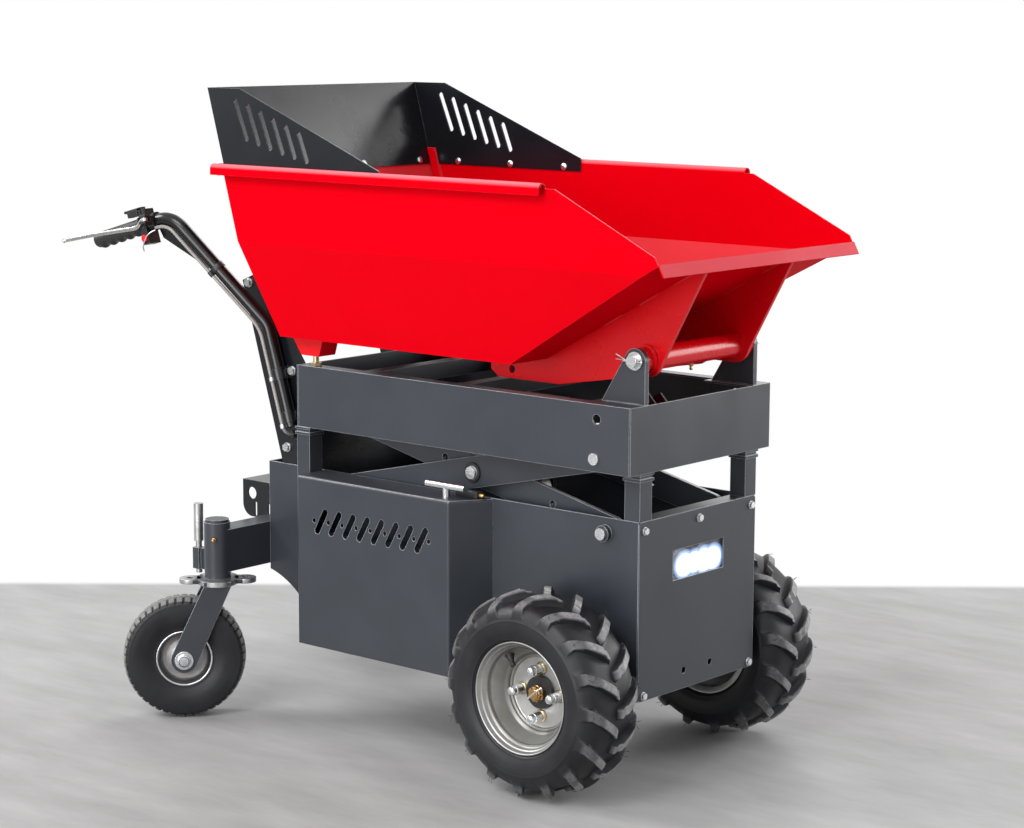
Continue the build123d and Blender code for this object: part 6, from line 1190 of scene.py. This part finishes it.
def latch_keeper():
    """Black keeper block beside the latch: a box with soft edges, and a brass tip turned about a line."""
    block = rounded_box(KEEPER_LOW, KEEPER_HIGH, KEEPER_EDGE, 24)
    piece("latch_keeper", "chassis", BLACK_PLASTIC, [block])
    piece("latch_keeper_tip", "chassis", BRASS, [turned(TIP_PROFILE, TIP_AT, AHEAD, 28)])


def grease_nipples():
    """Brass grease nipples: a hexagon with a necked tip, below the pivot tube and on the swivel sleeves."""
    below = hexed(NIPPLE_PROFILE, NIPPLE_FLATS, spot(HINGE_X, NIPPLE_Y, HINGE_Z - PIVOT_TUBE_R), -UP)
    piece("pivot_nipple", "bucket", BRASS, [below])
    nipples = []
    for label, side in SIDES.items():
        out = np.array([math.sin(NIPPLE_TURN), side * math.cos(NIPPLE_TURN), 0.0])
        swivel = joint_place(f"caster_swivel_{label}") * (1.0, 1.0, 0.0)
        nipples.append(hexed(NIPPLE_PROFILE, NIPPLE_FLATS, swivel + SLEEVE_R * out + NIPPLE_Z * UP, out))
    piece("sleeve_nipples", "chassis", BRASS, nipples)


def bolt_collars():
    """Dark collars under the heads of the scissor's centre bolts: rings turned about the bolts' line."""
    middle = joint_place("scissor_cross")
    ends = [corner[1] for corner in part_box("scissor_centre_bolts")]
    rings = [band(COLLAR, (middle[0], end, middle[2]), np.sign(end) * LEFT, 48) for end in ends]
    piece("bolt_collars", "tray_arms", HUB_BLACK, rings)


def split_pins():
    """Split pins of the bucket's pivot: two thin prongs each, swept along lines that spread to the rear."""
    prongs = []
    for side in SIDES.values():
        for lift in PRONG_LIFTS:
            ahead, up, share = np.transpose(PRONG_LINE)[..., None]
            path = spot(HINGE_X, side * PRONG_OUT, HINGE_Z) + ahead * AHEAD + (up + share * lift) * UP
            prongs.append(swept(curve_through(path, 24), circle(PRONG_R, 8), LEFT))
    piece("split_pin_prongs", "tray", ZINC, prongs)


def rest_bolts():
    """Yellow bolts the lowered bucket rests on: a hexagon nut and a shank, turned about upright lines."""
    parts = []
    for side in SIDES.values():
        place = spot(REST_X, side * REST_Y, 0.0)
        parts += [hexed(REST_NUT, (0, 1, 1, 0), place, UP), turned(SHANK, place, UP, 28)]
    piece("yellow_rest_bolts", "tray", YELLOW_ZINC, parts)


def bead(start, end, radius, up):
    """Weld bead: a round section swept along a line, its size rippling with the distance."""
    length = np.linalg.norm(end - start)
    part = np.linspace(0.0, 1.0, max(int(length / BEAD_STEP), 8))
    taper = np.minimum(1.0, BEAD_TAPER * np.minimum(part, 1.0 - part) + BEAD_END)
    ripple = 1.0 + BEAD_WAVE * np.cos(2 * np.pi * part * length / BEAD_RIPPLE)
    return swept(start + part[:, None] * (end - start), circle(radius, 8), up, taper * ripple)


def weld_beads():
    """Weld beads at the ear feet, and stitches where the ribs meet the tub."""
    feet, stitches = [], []
    for side in SIDES.values():
        for y in EAR_FACES:
            ends = [spot(x, side * y, TRAY_TOP) for x in (EAR_BACK, EAR_FRONT)]
            feet.append(bead(*ends, EAR_BEAD_R, UP))
        for y in RIB_FACES:
            for start in STITCH_STARTS:
                x = np.array([start, start + STITCH_LONG])
                z = SLOPE_START[1] + (x - SLOPE_START[0]) * SLOPE_RATE - STITCH_SINK
                ends = [spot(x[i], side * y, z[i]) for i in (0, 1)]
                stitches.append(bead(*ends, STITCH_R, LEFT))
    piece("ear_foot_welds", "tray", GREY_COAT, feet)
    piece("rib_stitch_welds", "bucket", HINGE_COAT, stitches)


for label in SIDES:
    drive_tyre(label)
    tyre_hairs(label)
    drive_rim(label)
    valve_stem(label)
    wheel_nuts(label)
    caster_tyre(label)
    caster_rim(label)
    caster_trim(label)
grips = [grip(side) for side in SIDES.values()]
piece("ribbed_grips", "chassis", GRIP_RUBBER, grips, "handle_grips")
slim_lever("right")
slim_lever("left")
thumb_paddle()
gussets = [bend_gusset(side) for side in SIDES.values()]
piece("bend_gussets", "chassis", HANDLE_COAT, gussets)
control_cable("right", "control_cables")
control_cable("left", "")
cable_fittings()
lit_diodes()
latch_keeper()
grease_nipples()
bolt_collars()
split_pins()
rest_bolts()
weld_beads()


# Floor, light and camera
CAMERA_AT = (3.6311, -4.0100, 1.5450)
CAMERA_YAW = math.radians(130.56)
CAMERA_DROP = math.radians(9.12)
CAMERA_ROLL = math.radians(0.22)
PHOTO_WIDTH = 1024
FOCAL_PIXELS = 2497.0
SENSOR = 36.0
FLOOR_REACH = 30.0
FLOOR_FAR = 6.650
FLOOR_GONE = 6.690
# Soft lamps: (place, aim, size, watts)
LAMPS = {
    "key_lamp": ((0.6, -4.2, 4.2), (0.0, 0.0, 0.6), 2.4, 140.0),
    "side_lamp": ((0.2, -5.0, 1.0), (0.0, 0.0, 0.6), 2.4, 115.0),
    "front_lamp": ((2.9, 3.6, 1.8), (0.5, 0.0, 1.0), 2.2, 120.0),
    "rear_lamp": ((-3.6, -2.2, 3.4), (-0.3, 0.0, 0.7), 1.6, 110.0),
    "far_lamp": ((-1.5, 4.2, 3.6), (0.0, 0.0, 0.7), 2.4, 80.0),
}


def aimed(name, data, place, axes):
    """Camera or lamp at a place, with its own right, up and back in the machine's frame."""
    made = shown(name, data)
    turn = np.eye(4)
    turn[:3, :3] = np.stack(axes, axis=1)
    turn[:3, 3] = place
    made.matrix_world = Matrix(turn.tolist())
    return made


def photo_camera():
    """Camera at the photograph's place and angle."""
    level = np.array([math.cos(CAMERA_YAW), math.sin(CAMERA_YAW), 0.0])
    ahead = level * math.cos(CAMERA_DROP) - UP * math.sin(CAMERA_DROP)
    right = np.array([level[1], -level[0], 0.0])
    right = math.cos(CAMERA_ROLL) * right + math.sin(CAMERA_ROLL) * np.cross(right, ahead)
    lens = bpy.data.cameras.new("photo_camera")
    lens.sensor_width = SENSOR
    lens.lens = FOCAL_PIXELS / PHOTO_WIDTH * SENSOR
    lens.clip_end = 100.0
    made = aimed("photo_camera", lens, CAMERA_AT, [right, np.cross(right, ahead), -ahead])
    bpy.context.scene.camera = made


def seen_rays(tree):
    """One for rays from the camera, mirrored rays and rays through glass; nought for plain lighting."""
    rays = add(tree, "ShaderNodeLightPath").outputs
    straight = calculate("MAXIMUM", rays["Is Camera Ray"], rays["Is Transmission Ray"])
    return calculate("MAXIMUM", straight, rays["Is Glossy Ray"])


def floor():
    """Pale floor: a flat grid of points at ground height; behind the machine it fades to plain white."""
    line = np.linspace(-FLOOR_REACH, FLOOR_REACH, 3)
    x, y = np.meshgrid(line, line, indexing="ij")
    made, tree, shader = material("pale_floor")
    place = here(tree)
    brushed = noise(stretched(place, (1.0, 3.0, 1.0)), FLOOR_CLOUDS, 6.0, 0.62)
    connect(shader, {
        "Base Color": mixed(ramp(brushed, 0.3, 0.7), (0.33, 0.33, 0.33), (0.44, 0.44, 0.44)),
        "Roughness": 0.6,
        "Specular IOR Level": 0.2,
    })
    away = (math.cos(CAMERA_YAW), math.sin(CAMERA_YAW), 0.0)
    depth = measure("DOT_PRODUCT", measure("SUBTRACT", place, CAMERA_AT)[0], away)["Value"]
    fade = times(ramp(depth, FLOOR_FAR, FLOOR_GONE), seen_rays(tree))
    white = add(tree, "ShaderNodeEmission", {"Color": WHITE, "Strength": 1.0}).outputs[0]
    both = add(tree, "ShaderNodeMixShader", {0: fade, 1: shader.outputs[0], 2: white}).outputs[0]
    connect(tree.nodes["Material Output"], {"Surface": both})
    mesh = bpy.data.meshes.new("floor")
    points = np.stack([x, y, 0 * x], axis=-1).reshape(-1, 3)
    mesh.from_pydata(points, [], grid_faces(3, 3, False, False))
    mesh.materials.append(made)
    shown("floor", mesh)


def studio():
    """White surroundings seen by camera and reflections, dimmer for plain lighting, and soft lamps."""
    world = bpy.data.worlds.new("studio")
    bpy.context.scene.world = world
    world.use_nodes = True
    tree = world.node_tree
    strength = ramp(seen_rays(tree), 0.0, 1.0, 0.55, 1.0)
    connect(tree.nodes["Background"], {"Color": WHITE, "Strength": strength})
    for name, (place, aim, size, watts) in LAMPS.items():
        lamp = bpy.data.lights.new(name, "AREA")
        lamp.shape = "SQUARE"
        lamp.size = size
        lamp.energy = watts
        back = unit(np.subtract(place, aim))
        aimed(name, lamp, place, [*cross_axes(back), back])


photo_camera()
floor()
studio()
bpy.context.scene.view_settings.view_transform = "Standard"
